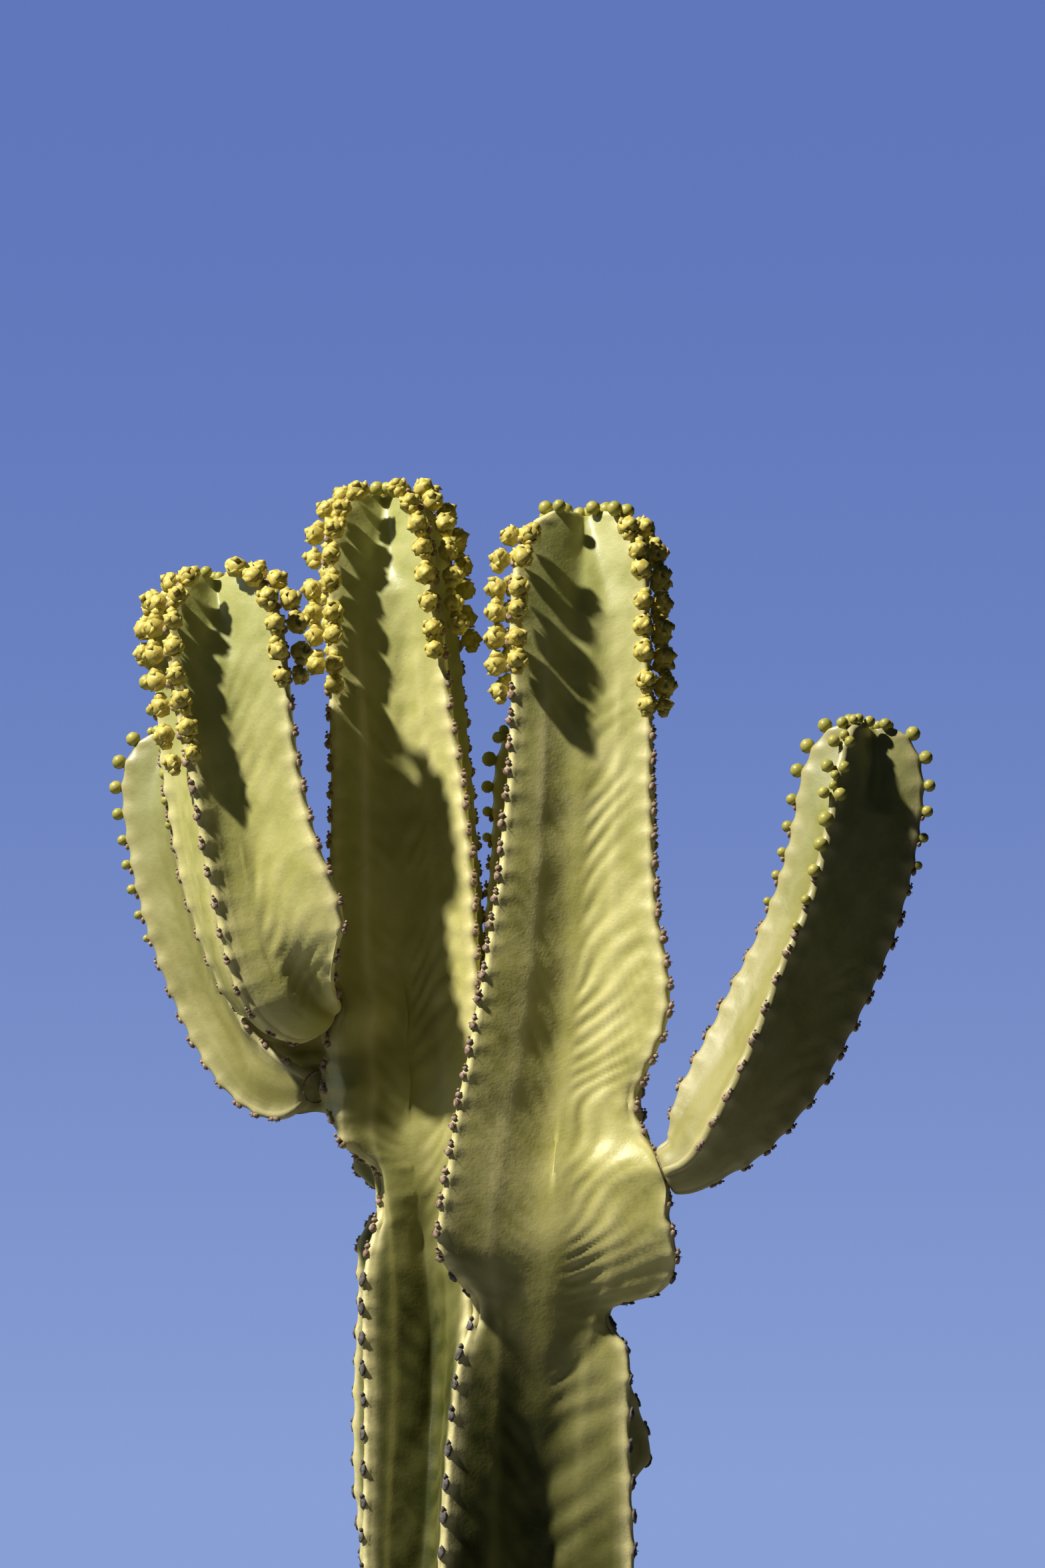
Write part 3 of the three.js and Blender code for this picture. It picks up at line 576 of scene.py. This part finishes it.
# the rows from low to high, closed by a point at each end
def withEnds(skin, low, high, topPoint, endPoint):
    columns = skin["grid"].shape[1]
    top = np.repeat(np.array(topPoint).reshape(1, 1, 3), columns, 1)
    end = np.repeat(np.array(endPoint).reshape(1, 1, 3), columns, 1)
    grid = np.concatenate([top, skin["grid"][low:high], end])
    tones = {key: np.concatenate([tone[low:low + 1], tone[low:high], tone[high - 1:high]])
             for key, tone in skin["tones"].items()}
    return grid, tones


def finishPiece(name, bm, material, replaced=(), creases=None):
    bmesh.ops.recalc_face_normals(bm, faces=bm.faces[:])
    for f in bm.faces:
        f.smooth = True
    if creases:
        for e in bm.edges:
            if len(e.link_faces) == 2 and e.calc_face_angle() > math.radians(creases):
                e.smooth = False
    mesh = bpy.data.meshes.new(name)
    bm.to_mesh(mesh)
    bm.free()
    mesh.materials.append(material)
    piece = bpy.data.objects.new(name, mesh)
    bpy.context.collection.objects.link(piece)
    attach(piece, "root")
    if replaced:
        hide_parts(*replaced)
    print(f"{name}: {sum(len(p.vertices) - 2 for p in mesh.polygons)} triangles")


# finishes
# deep is the old trunk's dark green, made darker still as painted shade of the shadows on the lower trunk
greens = {
    "skin": (0.43, 0.405, 0.115), "deep": (0.036, 0.042, 0.006), "pale": (0.66, 0.60, 0.29),
    "fresh": (0.285, 0.325, 0.095), "bark": (0.20, 0.165, 0.125), "barkTop": 0.30,
}
# right_arm and left_back_arm take a darker green
armGreens = dict(greens, skin=(0.275, 0.250, 0.076), pale=(0.42, 0.38, 0.18), fresh=(0.21, 0.23, 0.07))
waxSet = {
    # where the old green with its painted shade starts, in metres up, and how it climbs higher on the left, where the
    # arms' painted shadow falls
    "ageAndShadeFrom": 1.11, "ageAndShadeTo": 1.31, "ageAndShadeClimbLeft": -0.06, "ageAndShadeClimb": 1.4, "ragged": 0.12,
    "barkPale": (0.36, 0.32, 0.26), "barkPlates": 0.34, "barkDrop": 0.30, "barkFade": 0.16,
    "freckles": (0.16, 0.15, 0.06), "freckleScale": 210.0,
    "specular": 0.32, "coatRoughness": 0.35, "bump": 0.55, "bumpDepth": 0.001,
}


def link(tree, start, end):
    tree.links.new(start, end)


def node(tree, kind, **sets):
    made = tree.nodes.new(kind)
    for key, value in sets.items():
        setattr(made, key, value)
    return made


def mathOf(tree, operation, a, b):
    made = node(tree, "ShaderNodeMath", operation=operation)
    for socket, value in zip(made.inputs, (a, b)):
        if isinstance(value, (int, float)):
            socket.default_value = value
        else:
            link(tree, value, socket)
    return made.outputs[0]


def mixOf(tree, share, a, b):
    made = node(tree, "ShaderNodeMix", data_type="RGBA", clamp_factor=True)
    for socket, value in ((made.inputs[0], share), (made.inputs[6], a), (made.inputs[7], b)):
        if isinstance(value, (int, float)):
            socket.default_value = value
        elif isinstance(value, tuple):
            socket.default_value = value + (1,)
        else:
            link(tree, value, socket)
    return made.outputs[2]


def rangeOf(tree, value, low, high, start=0.0, end=1.0):
    made = node(tree, "ShaderNodeMapRange", interpolation_type="SMOOTHSTEP", clamp=True)
    for socket, number in zip(made.inputs[1:5], (low, high, start, end)):
        socket.default_value = number
    link(tree, value, made.inputs[0])
    return made.outputs[0]


def noiseOf(tree, coords, scale, detail=3.0, rough=0.5, warp=0.0):
    made = node(tree, "ShaderNodeTexNoise", noise_dimensions="3D")
    made.inputs["Scale"].default_value = scale
    made.inputs["Detail"].default_value = detail
    made.inputs["Roughness"].default_value = rough
    made.inputs["Distortion"].default_value = warp
    link(tree, coords, made.inputs["Vector"])
    return made.outputs[0]


# waxy skin: greens by height and tip, with painted shade low down, pale edges, streaks partly painted as highlight,
# veins, freckles, and cork on the foot
def makeWaxySkin():
    group = bpy.data.node_groups.new("waxySkin", "ShaderNodeTree")
    face = group.interface
    for label in ("Skin", "Deep", "Pale", "Fresh", "Bark"):
        face.new_socket(name=label, in_out="INPUT", socket_type="NodeSocketColor")
    face.new_socket(name="Bark Top", in_out="INPUT", socket_type="NodeSocketFloat")
    face.new_socket(name="Color", in_out="OUTPUT", socket_type="NodeSocketColor")
    face.new_socket(name="Roughness", in_out="OUTPUT", socket_type="NodeSocketFloat")
    face.new_socket(name="Gloss", in_out="OUTPUT", socket_type="NodeSocketFloat")
    face.new_socket(name="Height", in_out="OUTPUT", socket_type="NodeSocketFloat")
    given = node(group, "NodeGroupInput")
    out = node(group, "NodeGroupOutput")
    coords = node(group, "ShaderNodeTexCoord").outputs["Object"]
    tone = {key: node(group, "ShaderNodeAttribute", attribute_name=key).outputs["Fac"]
            for key in ("edge", "streakAndHighlight", "spot", "vein", "fresh")}
    height = node(group, "ShaderNodeSeparateXYZ")
    link(group, coords, height.inputs[0])
    z = height.outputs[2]
    broad = noiseOf(group, coords, 9.0, 3)
    cloud = noiseOf(group, coords, 38.0, 4, 0.55, 0.4)
    mottle = noiseOf(group, coords, 160.0, 4, 0.6)
    pores = noiseOf(group, coords, 620.0, 3, 0.6)
    # the old trunk is darker, and darker still with painted shade of the shadows falling on it, higher up so on the
    # left
    leftMost = mathOf(group, "MAXIMUM", height.outputs[0], waxSet["ageAndShadeClimbLeft"])
    ageAndShadeClimb = mathOf(group, "ADD", z, mathOf(group, "MULTIPLY", leftMost, waxSet["ageAndShadeClimb"]))
    ragged = mathOf(group, "ADD", ageAndShadeClimb, mathOf(group, "MULTIPLY", broad, waxSet["ragged"]))
    low = rangeOf(group, ragged, waxSet["ageAndShadeFrom"], waxSet["ageAndShadeTo"], 1.0, 0.0)
    # painted shade, in part: towards the foot the colour goes over to the dark old green
    colour = mixOf(group, low, given.outputs["Skin"], given.outputs["Deep"])
    pale = mixOf(group, low, given.outputs["Pale"], mixOf(group, 0.5, given.outputs["Skin"], given.outputs["Deep"]))
    colour = mixOf(group, mathOf(group, "MULTIPLY", tone["fresh"], 0.7), colour, given.outputs["Fresh"])
    # paler and darker clouds, pale streaks along the ridges that are partly painted highlight, veins, and the pale
    # edge
    colour = mixOf(group, rangeOf(group, cloud, 0.35, 0.72, 0.0, 0.30), colour, pale)
    shade = mixOf(group, mathOf(group, "MAXIMUM", low, 0.35), given.outputs["Skin"], given.outputs["Deep"])
    colour = mixOf(group, rangeOf(group, cloud, 0.30, 0.52, 0.30, 0.0), colour, shade)
    # painted highlight, in part: the ridge crests are made paler than the troughs
    streakAndHighlight = mathOf(group, "MULTIPLY", tone["streakAndHighlight"], 0.24)
    colour = mixOf(group, streakAndHighlight, colour, pale)
    colour = mixOf(group, mathOf(group, "MULTIPLY", tone["vein"], 0.6), colour, pale)
    edge = mathOf(group, "ADD", rangeOf(group, mottle, 0.3, 0.7, 0.45, 0.75), mathOf(group, "MULTIPLY", low, 0.25))
    colour = mixOf(group, mathOf(group, "MULTIPLY", tone["edge"], edge), colour, given.outputs["Pale"])
    colour = mixOf(group, mathOf(group, "MULTIPLY", tone["spot"], 0.5), colour, given.outputs["Pale"])
    colour = mixOf(group, rangeOf(group, mottle, 0.60, 0.74, 0.0, 0.30), colour, shade)
    freckle = node(group, "ShaderNodeTexVoronoi", feature="F1")
    freckle.inputs["Scale"].default_value = waxSet["freckleScale"]
    link(group, coords, freckle.inputs["Vector"])
    speck = rangeOf(group, freckle.outputs["Distance"], 0.05, 0.16, 0.35, 0.0)
    speck = mathOf(group, "MULTIPLY", speck, rangeOf(group, broad, 0.45, 0.6))
    colour = mixOf(group, speck, colour, waxSet["freckles"])
    # cork climbs the foot in ragged plates
    plates = mathOf(group, "MULTIPLY", noiseOf(group, coords, 26.0, 5, 0.65, 0.8), waxSet["barkPlates"])
    cork = mathOf(group, "SUBTRACT", mathOf(group, "SUBTRACT", z, plates), given.outputs["Bark Top"])
    barky = rangeOf(group, cork, -waxSet["barkDrop"], waxSet["barkFade"] - waxSet["barkDrop"], 1.0, 0.0)
    grain = noiseOf(group, coords, 95.0, 6, 0.7, 0.6)
    barkColour = mixOf(group, rangeOf(group, grain, 0.35, 0.65), given.outputs["Bark"], waxSet["barkPale"])
    barkShare = mathOf(group, "MULTIPLY", barky, rangeOf(group, grain, 0.25, 0.45, 0.75, 1.0))
    colour = mixOf(group, barkShare, colour, barkColour)
    link(group, colour, out.inputs["Color"])
    rough = mathOf(group, "ADD", rangeOf(group, cloud, 0.3, 0.7, 0.40, 0.54), mathOf(group, "MULTIPLY", barky, 0.35))
    link(group, rough, out.inputs["Roughness"])
    link(group, rangeOf(group, tone["fresh"], 0.1, 0.9, 0.05, 0.6), out.inputs["Gloss"])
    fine = mathOf(group, "ADD", mathOf(group, "MULTIPLY", mottle, 0.55), mathOf(group, "MULTIPLY", pores, 0.16))
    fine = mathOf(group, "SUBTRACT", fine, mathOf(group, "MULTIPLY", speck, 0.3))
    fine = mathOf(group, "ADD", fine, mathOf(group, "MULTIPLY", barky, mathOf(group, "MULTIPLY", grain, 3.2)))
    link(group, fine, out.inputs["Height"])
    return group


waxySkin = makeWaxySkin()


def skinMaterial(name, skin):
    material = bpy.data.materials.new(name)
    material.use_nodes = True
    tree = material.node_tree
    shader = tree.nodes["Principled BSDF"]
    shader.inputs["Specular IOR Level"].default_value = waxSet["specular"]
    shader.inputs["Coat Roughness"].default_value = waxSet["coatRoughness"]
    inside = node(tree, "ShaderNodeGroup", node_tree=waxySkin)
    for label, key in (("Skin", "skin"), ("Deep", "deep"), ("Pale", "pale"), ("Fresh", "fresh"), ("Bark", "bark")):
        inside.inputs[label].default_value = skin[key] + (1,)
    inside.inputs["Bark Top"].default_value = skin["barkTop"]
    link(tree, inside.outputs["Color"], shader.inputs["Base Color"])
    link(tree, inside.outputs["Roughness"], shader.inputs["Roughness"])
    link(tree, inside.outputs["Gloss"], shader.inputs["Coat Weight"])
    bump = node(tree, "ShaderNodeBump")
    bump.inputs["Strength"].default_value = waxSet["bump"]
    bump.inputs["Distance"].default_value = waxSet["bumpDepth"]
    link(tree, inside.outputs["Height"], bump.inputs["Height"])
    link(tree, bump.outputs["Normal"], shader.inputs["Normal"])
    return material


stemMaterial = skinMaterial("stemSkin", greens)
armMaterial = skinMaterial("armSkin", armGreens)
trunkMaterial = skinMaterial("trunkSkin", greens)


# small things take a plain colour, a little uneven from one to the next
def smallMaterial(name, colour, other, scale, rough, gloss=0.4):
    material = bpy.data.materials.new(name)
    material.use_nodes = True
    tree = material.node_tree
    shader = tree.nodes["Principled BSDF"]
    shader.inputs["Roughness"].default_value = rough
    shader.inputs["Specular IOR Level"].default_value = gloss
    coords = node(tree, "ShaderNodeTexCoord").outputs["Object"]
    blend = rangeOf(tree, noiseOf(tree, coords, scale, 3, 0.6), 0.36, 0.66)
    link(tree, mixOf(tree, blend, colour, other), shader.inputs["Base Color"])
    return material


petalYellow = smallMaterial("petalYellow", (0.43, 0.345, 0.06), (0.60, 0.515, 0.125), 300.0, 0.5)
budGreen = smallMaterial("budGreen", (0.30, 0.285, 0.05), (0.40, 0.36, 0.08), 120.0, 0.42)
shieldBrown = smallMaterial("shieldBrown", (0.17, 0.105, 0.07), (0.40, 0.295, 0.22), 420.0, 0.8)
shieldGrey = smallMaterial("shieldGrey", (0.055, 0.048, 0.045), (0.15, 0.13, 0.125), 420.0, 0.8)
spineDark = smallMaterial("spineDark", (0.07, 0.045, 0.035), (0.16, 0.11, 0.08), 300.0, 0.6)

# build the skins
skins = {}
for order, name in enumerate(limbs):
    skins[name] = limbSkin(name, 100 * (order + 1))
print("skins worked out")

mainStems = ("front_stem", "left_stem")
for name in mainStems:  # both run down the trunk, from the row at the fork's height on
    skins[name]["forkRow"] = int(np.argmin(np.abs(skins[name]["centres"][:, 2] - shared["forkHeight"])))

seamSet = {"radius": 9.3, "height": 0.5, "thick": 0.9, "rough": (-0.1, 0.35)}
seams = bmesh.new()


# a thin corky ring in the groove between an arm and the rib it sits on
def addSeam(arm):
    skin = skins[arm]
    point, up, across, depth = (v[0] for v in skin["at"](np.array([skin["length"]])))
    dice = np.random.default_rng(len(arm))
    basis = Matrix((Vector(across), Vector(depth), Vector(up))).transposed().to_4x4()
    radius = seamSet["radius"] * mm
    ring = bmesh.ops.create_cone(seams, cap_ends=False, segments=60, radius1=radius, radius2=radius,
                                 depth=seamSet["height"] * mm,
                                 matrix=Matrix.Translation(Vector(point) * mm) @ basis)["verts"]
    faces = list({f for v in ring for f in v.link_faces})
    for v in ring:
        v.co += (v.co - Vector(point) * mm).normalized() * dice.uniform(*seamSet["rough"]) * mm
    bmesh.ops.solidify(seams, geom=faces, thickness=seamSet["thick"] * mm)


for arm in limbs:
    if "parent" in limbs[arm]:
        addSeam(arm)

for name, skin in skins.items():
    bm = bmesh.new()
    high = skin["forkRow"] + 1 if "forkRow" in skin else len(skin["rows"])
    grid, tones = withEnds(skin, 0, high, skin["tip"], skin["centres"][high - 1])
    addTube(bm, grid, tones)
    material = armMaterial if name in ("right_arm", "left_back_arm") else stemMaterial
    finishPiece(name + ".skin", bm, material, [name], creases=50)

for name in mainStems:
    skin = skins[name]
    bm = bmesh.new()
    fork = skin["forkRow"]
    grid, tones = withEnds(skin, fork, len(skin["rows"]), skin["centres"][fork], skin["centres"][-1])
    grid[..., 2] = np.maximum(grid[..., 2], 0.0)
    addTube(bm, grid, tones)
    finishPiece("trunk." + name.split("_")[0] + ".skin", bm, trunkMaterial, ["trunk"], creases=50)


# blossom, buds and spine shields
headSet = {"kinds": 8, "size": (1.26, 1.42), "lastSize": 0.88, "sideways": 4.7, "sink": 3.3, "lean": 0.55,
           "petals": 5, "petalTurn": 1.257, "petal": (1.7, 2.6, 2.4), "middle": (4.6, 4.6, 4.4),
           "bud": (2.7, 2.6, 2.9)}
budSet = {"size": (0.95, 1.18), "armSize": 0.82, "missing": 0.07, "sideways": 3.9}
spineSet = {"kinds": 4, "length": 2.0, "root": 0.36, "point": 0.06, "apart": 42, "raised": 20}
shieldSet = {"kinds": 5, "size": (0.88, 1.12), "armSize": 0.85, "greyBelow": 1150, "spined": 0.4}
endSet = {"arm": 14, "stem": 4}   # how far above a joint or the ground the last shield stays
# ribs that lie inside the fork carry nothing below these distances, as {rib: distance}
insideFork = {"left_stem": {1: 455, 2: 440}, "back_stem": {rib: 250 for rib in range(4)}}


def template(build, seed):
    bm = bmesh.new()
    build(bm, np.random.default_rng(seed))
    bmesh.ops.recalc_face_normals(bm, faces=bm.faces[:])
    mesh = bpy.data.meshes.new("template")
    bm.to_mesh(mesh)
    bm.free()
    return mesh


def ball(bm, place, size, u, v, turn=None):
    matrix = Matrix.Translation(Vector(place)) @ (turn or Matrix.Identity(4)) @ Matrix.Diagonal((*size, 1))
    return bmesh.ops.create_uvsphere(bm, u_segments=u, v_segments=v, radius=1.0, matrix=matrix)["verts"]


# an open head: a crinkled middle with five petals pressed round it and one on top, a smooth bud on one side
def buildHead(bm, dice):
    for vert in ball(bm, (0, 0, 4.4), headSet["middle"], u=6, v=4):
        vert.co += Vector(dice.normal(0, 0.3, 3))
    start = dice.uniform(0, 6)
    for k in range(headSet["petals"] + 1):
        angle = start + k * headSet["petalTurn"] + dice.normal(0, 0.12)
        wide, high, lean = (3.3, 5.0, 0.5) if k < headSet["petals"] else (0.5, 7.3, 1.4)
        size = dice.uniform(0.85, 1.15)
        turn = Matrix.Rotation(angle, 4, "Z") @ Matrix.Rotation(lean + dice.normal(0, 0.2), 4, "Y")
        place = (math.cos(angle) * wide, math.sin(angle) * wide, high + dice.normal(0, 0.5))
        for vert in ball(bm, place, tuple(s * size for s in headSet["petal"]), u=4, v=2, turn=turn):
            vert.co += Vector(dice.normal(0, 0.25, 3))
    hand = dice.choice([-1, 1])
    ball(bm, (dice.normal(0, 0.5), hand * 4.0, 4.0 + dice.normal(0, 0.3)), headSet["bud"], u=5, v=3)


def buildBud(bm, _):
    ball(bm, (0, 0, 3.6), (4.0, 4.0, 3.9), u=10, v=5)
    ball(bm, (0, 0, 0.4), (2.0, 2.0, 1.6), u=5, v=3)


# a brown shield: a lump above, a smaller one below, and a speck
def buildShield(bm, dice):
    for place, size, u, v in (((0, -1.9, 0.5), (2.7, 2.7, 1.6), 6, 4), ((0.2, 2.0, 0.9), (1.9, 1.7, 1.6), 5, 4),
                              ((0, 4.4, 0.7), (1.1, 1.0, 0.9), 4, 3)):
        place = Vector(place) + Vector(dice.normal(0, 0.25, 3))
        for vert in ball(bm, place, tuple(s * dice.uniform(0.85, 1.15) for s in size), u=u, v=v):
            vert.co += Vector(dice.normal(0, 0.16, 3))


# an old shield on the trunk, long, flat and grey
def buildOval(bm, dice):
    for place, size, u, v in (((0, -0.8, 0.15), (2.6, 3.6, 1.0), 8, 4), ((0.2, 2.6, 0.5), (1.3, 1.5, 1.0), 5, 4)):
        place = Vector(place) + Vector(dice.normal(0, 0.25, 3))
        for vert in ball(bm, place, tuple(s * dice.uniform(0.85, 1.15) for s in size), u=u, v=v):
            vert.co += Vector(dice.normal(0, 0.18, 3))


# a pair of short spines
def buildSpines(bm, dice):
    length = spineSet["length"]
    for hand in (-1, 1):
        apart = Matrix.Rotation(math.radians(hand * (spineSet["apart"] + dice.normal(0, 8))), 4, "Y")
        raised = Matrix.Rotation(math.radians(spineSet["raised"] + dice.normal(0, 10)), 4, "X")
        matrix = Matrix.Translation((hand * 1.1, -0.8, 0.9)) @ apart @ raised @ Matrix.Translation((0, 0, length / 2))
        bmesh.ops.create_cone(bm, cap_ends=True, segments=4, radius1=spineSet["root"], radius2=spineSet["point"],
                              depth=length, matrix=matrix)


kinds = {
    "head": [template(buildHead, 900 + k) for k in range(headSet["kinds"])],
    "bud": [template(buildBud, 920)],
    "shield": [template(buildShield, 940 + k) for k in range(shieldSet["kinds"])],
    "oval": [template(buildOval, 960 + k) for k in range(shieldSet["kinds"])],
    "spines": [template(buildSpines, 980 + k) for k in range(spineSet["kinds"])],
}
heaps = {kind: bmesh.new() for kind in kinds}


# one more of a kind on its heap, turned to the rib and its areole
def put(kind, point, side, along, out, size, spin=0.0):
    basis = Matrix((Vector(side), Vector(along), Vector(out))).transposed().to_4x4()
    matrix = Matrix.Translation(Vector(point) * mm) @ basis
    matrix = matrix @ Matrix.Rotation(spin, 4, "Z") @ Matrix.Scale(size * mm, 4)
    copy = kinds[kind][int(rng.integers(len(kinds[kind])))].copy()
    copy.transform(matrix)
    heaps[kind].from_mesh(copy)
    bpy.data.meshes.remove(copy)


def growAlong(name, rib, line):
    isArm = "parent" in limbs[name]
    points, out = line["points"], line["out"]
    tangent = unit(np.gradient(points, axis=0))
    for s in line["areoles"]:
        pick = lambda table: np.array([np.interp(s, line["run"], table[:, k]) for k in range(3)])
        point, normal, up = pick(points), unit(pick(out)), -unit(pick(tangent))
        down = float(np.interp(s, line["run"], line["down"]))
        if down > insideFork.get(name, {}).get(rib, math.inf):
            continue
        if s > line["run"][-1] - endSet["arm" if isArm else "stem"]:
            continue
        up = unit(up - normal * up.dot(normal))
        side = np.cross(up, normal)
        kind, first, last = next((step for step in blossomOn[name][rib] if step[1] <= s < step[2]), ("shield", 0, 1))
        left = (s - first) / (last - first)   # from 0 at the top of its stretch to 1 at its end
        if kind == "open":
            for hand in (-1, 1):
                if left > 0.92 and hand == rng.choice([-1, 1]):
                    continue
                size = rng.uniform(*headSet["size"]) * (headSet["lastSize"] if left > 0.85 else 1.0)
                lean = unit(normal + side * hand * headSet["lean"] + up * rng.normal(0, 0.12))
                sideways = unit(side - lean * side.dot(lean))
                place = point + side * hand * headSet["sideways"] * size - normal * headSet["sink"]
                place = place + up * rng.normal(0, 0.6)
                put("head", place, sideways, np.cross(lean, sideways), lean, size, rng.normal(0, 0.25))
            put("shield", point - normal * 0.6, side, up, normal, 1.0)
        elif kind == "buds":
            for hand, high, size in ((-1, 0.0, 1.0), (1, 0.0, 1.0), (0, 4.6, 0.8)):
                if rng.random() < budSet["missing"]:
                    continue
                size *= rng.uniform(*budSet["size"]) * (1.0 if name in mainStems else budSet["armSize"])
                lean = unit(normal + side * hand * 0.5)
                place = point + side * hand * budSet["sideways"] * size + up * high * rng.choice([-1, 1]) - normal
                sideways = unit(side - lean * side.dot(lean))
                put("bud", place, sideways, np.cross(lean, sideways), lean, size)
        elif kind == "bud":  # single buds, smaller further down
            place = point - normal * 0.9 + side * rng.normal(0, 0.5)
            put("bud", place, side, up, normal, (1.12 - 0.55 * left) * rng.uniform(0.92, 1.08))
            if left > 0.4:
                put("shield", point - up * 2.4 - normal * 0.5, side, up, normal, 0.8)
        elif kind == "shield":
            grey = point[2] < shieldSet["greyBelow"] and name in mainStems
            size = rng.uniform(*shieldSet["size"]) * (shieldSet["armSize"] if isArm else 1.0)
            put("oval" if grey else "shield", point - normal * 0.5, side, up, normal, size)
            if not grey or rng.random() < shieldSet["spined"]:
                put("spines", point - normal * 0.3, side, up, normal, size * (0.7 if grey else 1.0))


for name, skin in skins.items():
    for rib, line in enumerate(skin["lines"]):
        growAlong(name, rib, line)

finishPiece("joint_seams", seams, shieldBrown)
for kind, label, material in (("head", "blossom", petalYellow), ("bud", "buds", budGreen),
                              ("shield", "spine_shields", shieldBrown), ("oval", "trunk_shields", shieldGrey),
                              ("spines", "spines", spineDark)):
    finishPiece(label, heaps[kind], material)

# floor and light
stageSet = {"floor": 1.6, "floorColour": (0.33, 0.33, 0.32), "floorRoughness": 0.9}
bm = bmesh.new()
bmesh.ops.create_circle(bm, cap_ends=True, segments=96, radius=stageSet["floor"])
mesh = bpy.data.meshes.new("floor")
bm.to_mesh(mesh)
bm.free()
floor = bpy.data.objects.new("floor", mesh)
bpy.context.collection.objects.link(floor)
floorMaterial = bpy.data.materials.new("floorPale")
floorMaterial.use_nodes = True
floorShader = floorMaterial.node_tree.nodes["Principled BSDF"]
floorShader.inputs["Base Color"].default_value = stageSet["floorColour"] + (1,)
floorShader.inputs["Roughness"].default_value = stageSet["floorRoughness"]
mesh.materials.append(floorMaterial)

# azimuth turns left from the camera's side, and every lamp aims at the middle of the crown
lightSet = {
    "aim": (0.0, 0.0, 1.25),
    "key": {"azimuth": 60, "elevation": 48, "far": 5.0, "size": 0.24, "power": 520, "colour": (1.0, 0.95, 0.86)},
    "fill": {"azimuth": 84, "elevation": 26, "far": 4.5, "size": 3.0, "power": 27, "colour": (0.76, 0.93, 1.06)},
    "back": {"azimuth": 180, "elevation": 34, "far": 4.5, "size": 3.0, "power": 85, "colour": (0.9, 0.97, 1.0)},
}
skySet = {
    "light": (0.52, 0.83, 1.35), "strength": 0.017,   # what lights the plant
    # what is seen, from high to low, and the band of heights between
    "high": (0.117, 0.184, 0.497), "low": (0.246, 0.347, 0.665), "band": (-0.045, 0.255), "fade": 1.7,
}


def areaLight(name, azimuth, elevation, far, size, power, colour):
    data = bpy.data.lights.new(name, "AREA")
    data.shape = "DISK"
    data.size = size
    data.energy = power
    data.color = colour
    lamp = bpy.data.objects.new(name, data)
    a, e = math.radians(azimuth), math.radians(elevation)
    toward = Vector((-math.cos(e) * math.sin(a), -math.cos(e) * math.cos(a), math.sin(e)))
    lamp.location = Vector(lightSet["aim"]) + toward * far
    lamp.rotation_euler = (-toward).to_track_quat("-Z", "Y").to_euler()
    bpy.context.collection.objects.link(lamp)
    return lamp


areaLight("key", **lightSet["key"])
areaLight("fill", **lightSet["fill"])
areaLight("back", **lightSet["back"]).visible_glossy = False   # its shine would draw pale streaks in the valleys
world = bpy.data.worlds.new("studio")
world.use_nodes = True
sky = world.node_tree
lit = sky.nodes["Background"]
lit.inputs[0].default_value = skySet["light"] + (1,)
lit.inputs[1].default_value = skySet["strength"]
seen = node(sky, "ShaderNodeBackground")   # the camera sees a sky that is paler towards the ground
upward = node(sky, "ShaderNodeSeparateXYZ")
link(sky, node(sky, "ShaderNodeTexCoord").outputs["Generated"], upward.inputs[0])
paling = node(sky, "ShaderNodeMapRange", clamp=True)
for socket, number in zip(paling.inputs[1:5], (*skySet["band"], 1.0, 0.0)):
    socket.default_value = number
link(sky, upward.outputs[2], paling.inputs[0])
lowShare = mathOf(sky, "POWER", paling.outputs[0], skySet["fade"])
link(sky, mixOf(sky, lowShare, skySet["high"], skySet["low"]), seen.inputs[0])
either = node(sky, "ShaderNodeMixShader")
link(sky, node(sky, "ShaderNodeLightPath").outputs["Is Camera Ray"], either.inputs[0])
link(sky, lit.outputs[0], either.inputs[1])
link(sky, seen.outputs[0], either.inputs[2])
link(sky, either.outputs[0], sky.nodes["World Output"].inputs[0])
bpy.context.scene.world = world
bpy.context.scene.view_settings.view_transform = "Standard"
print("floor and light placed")
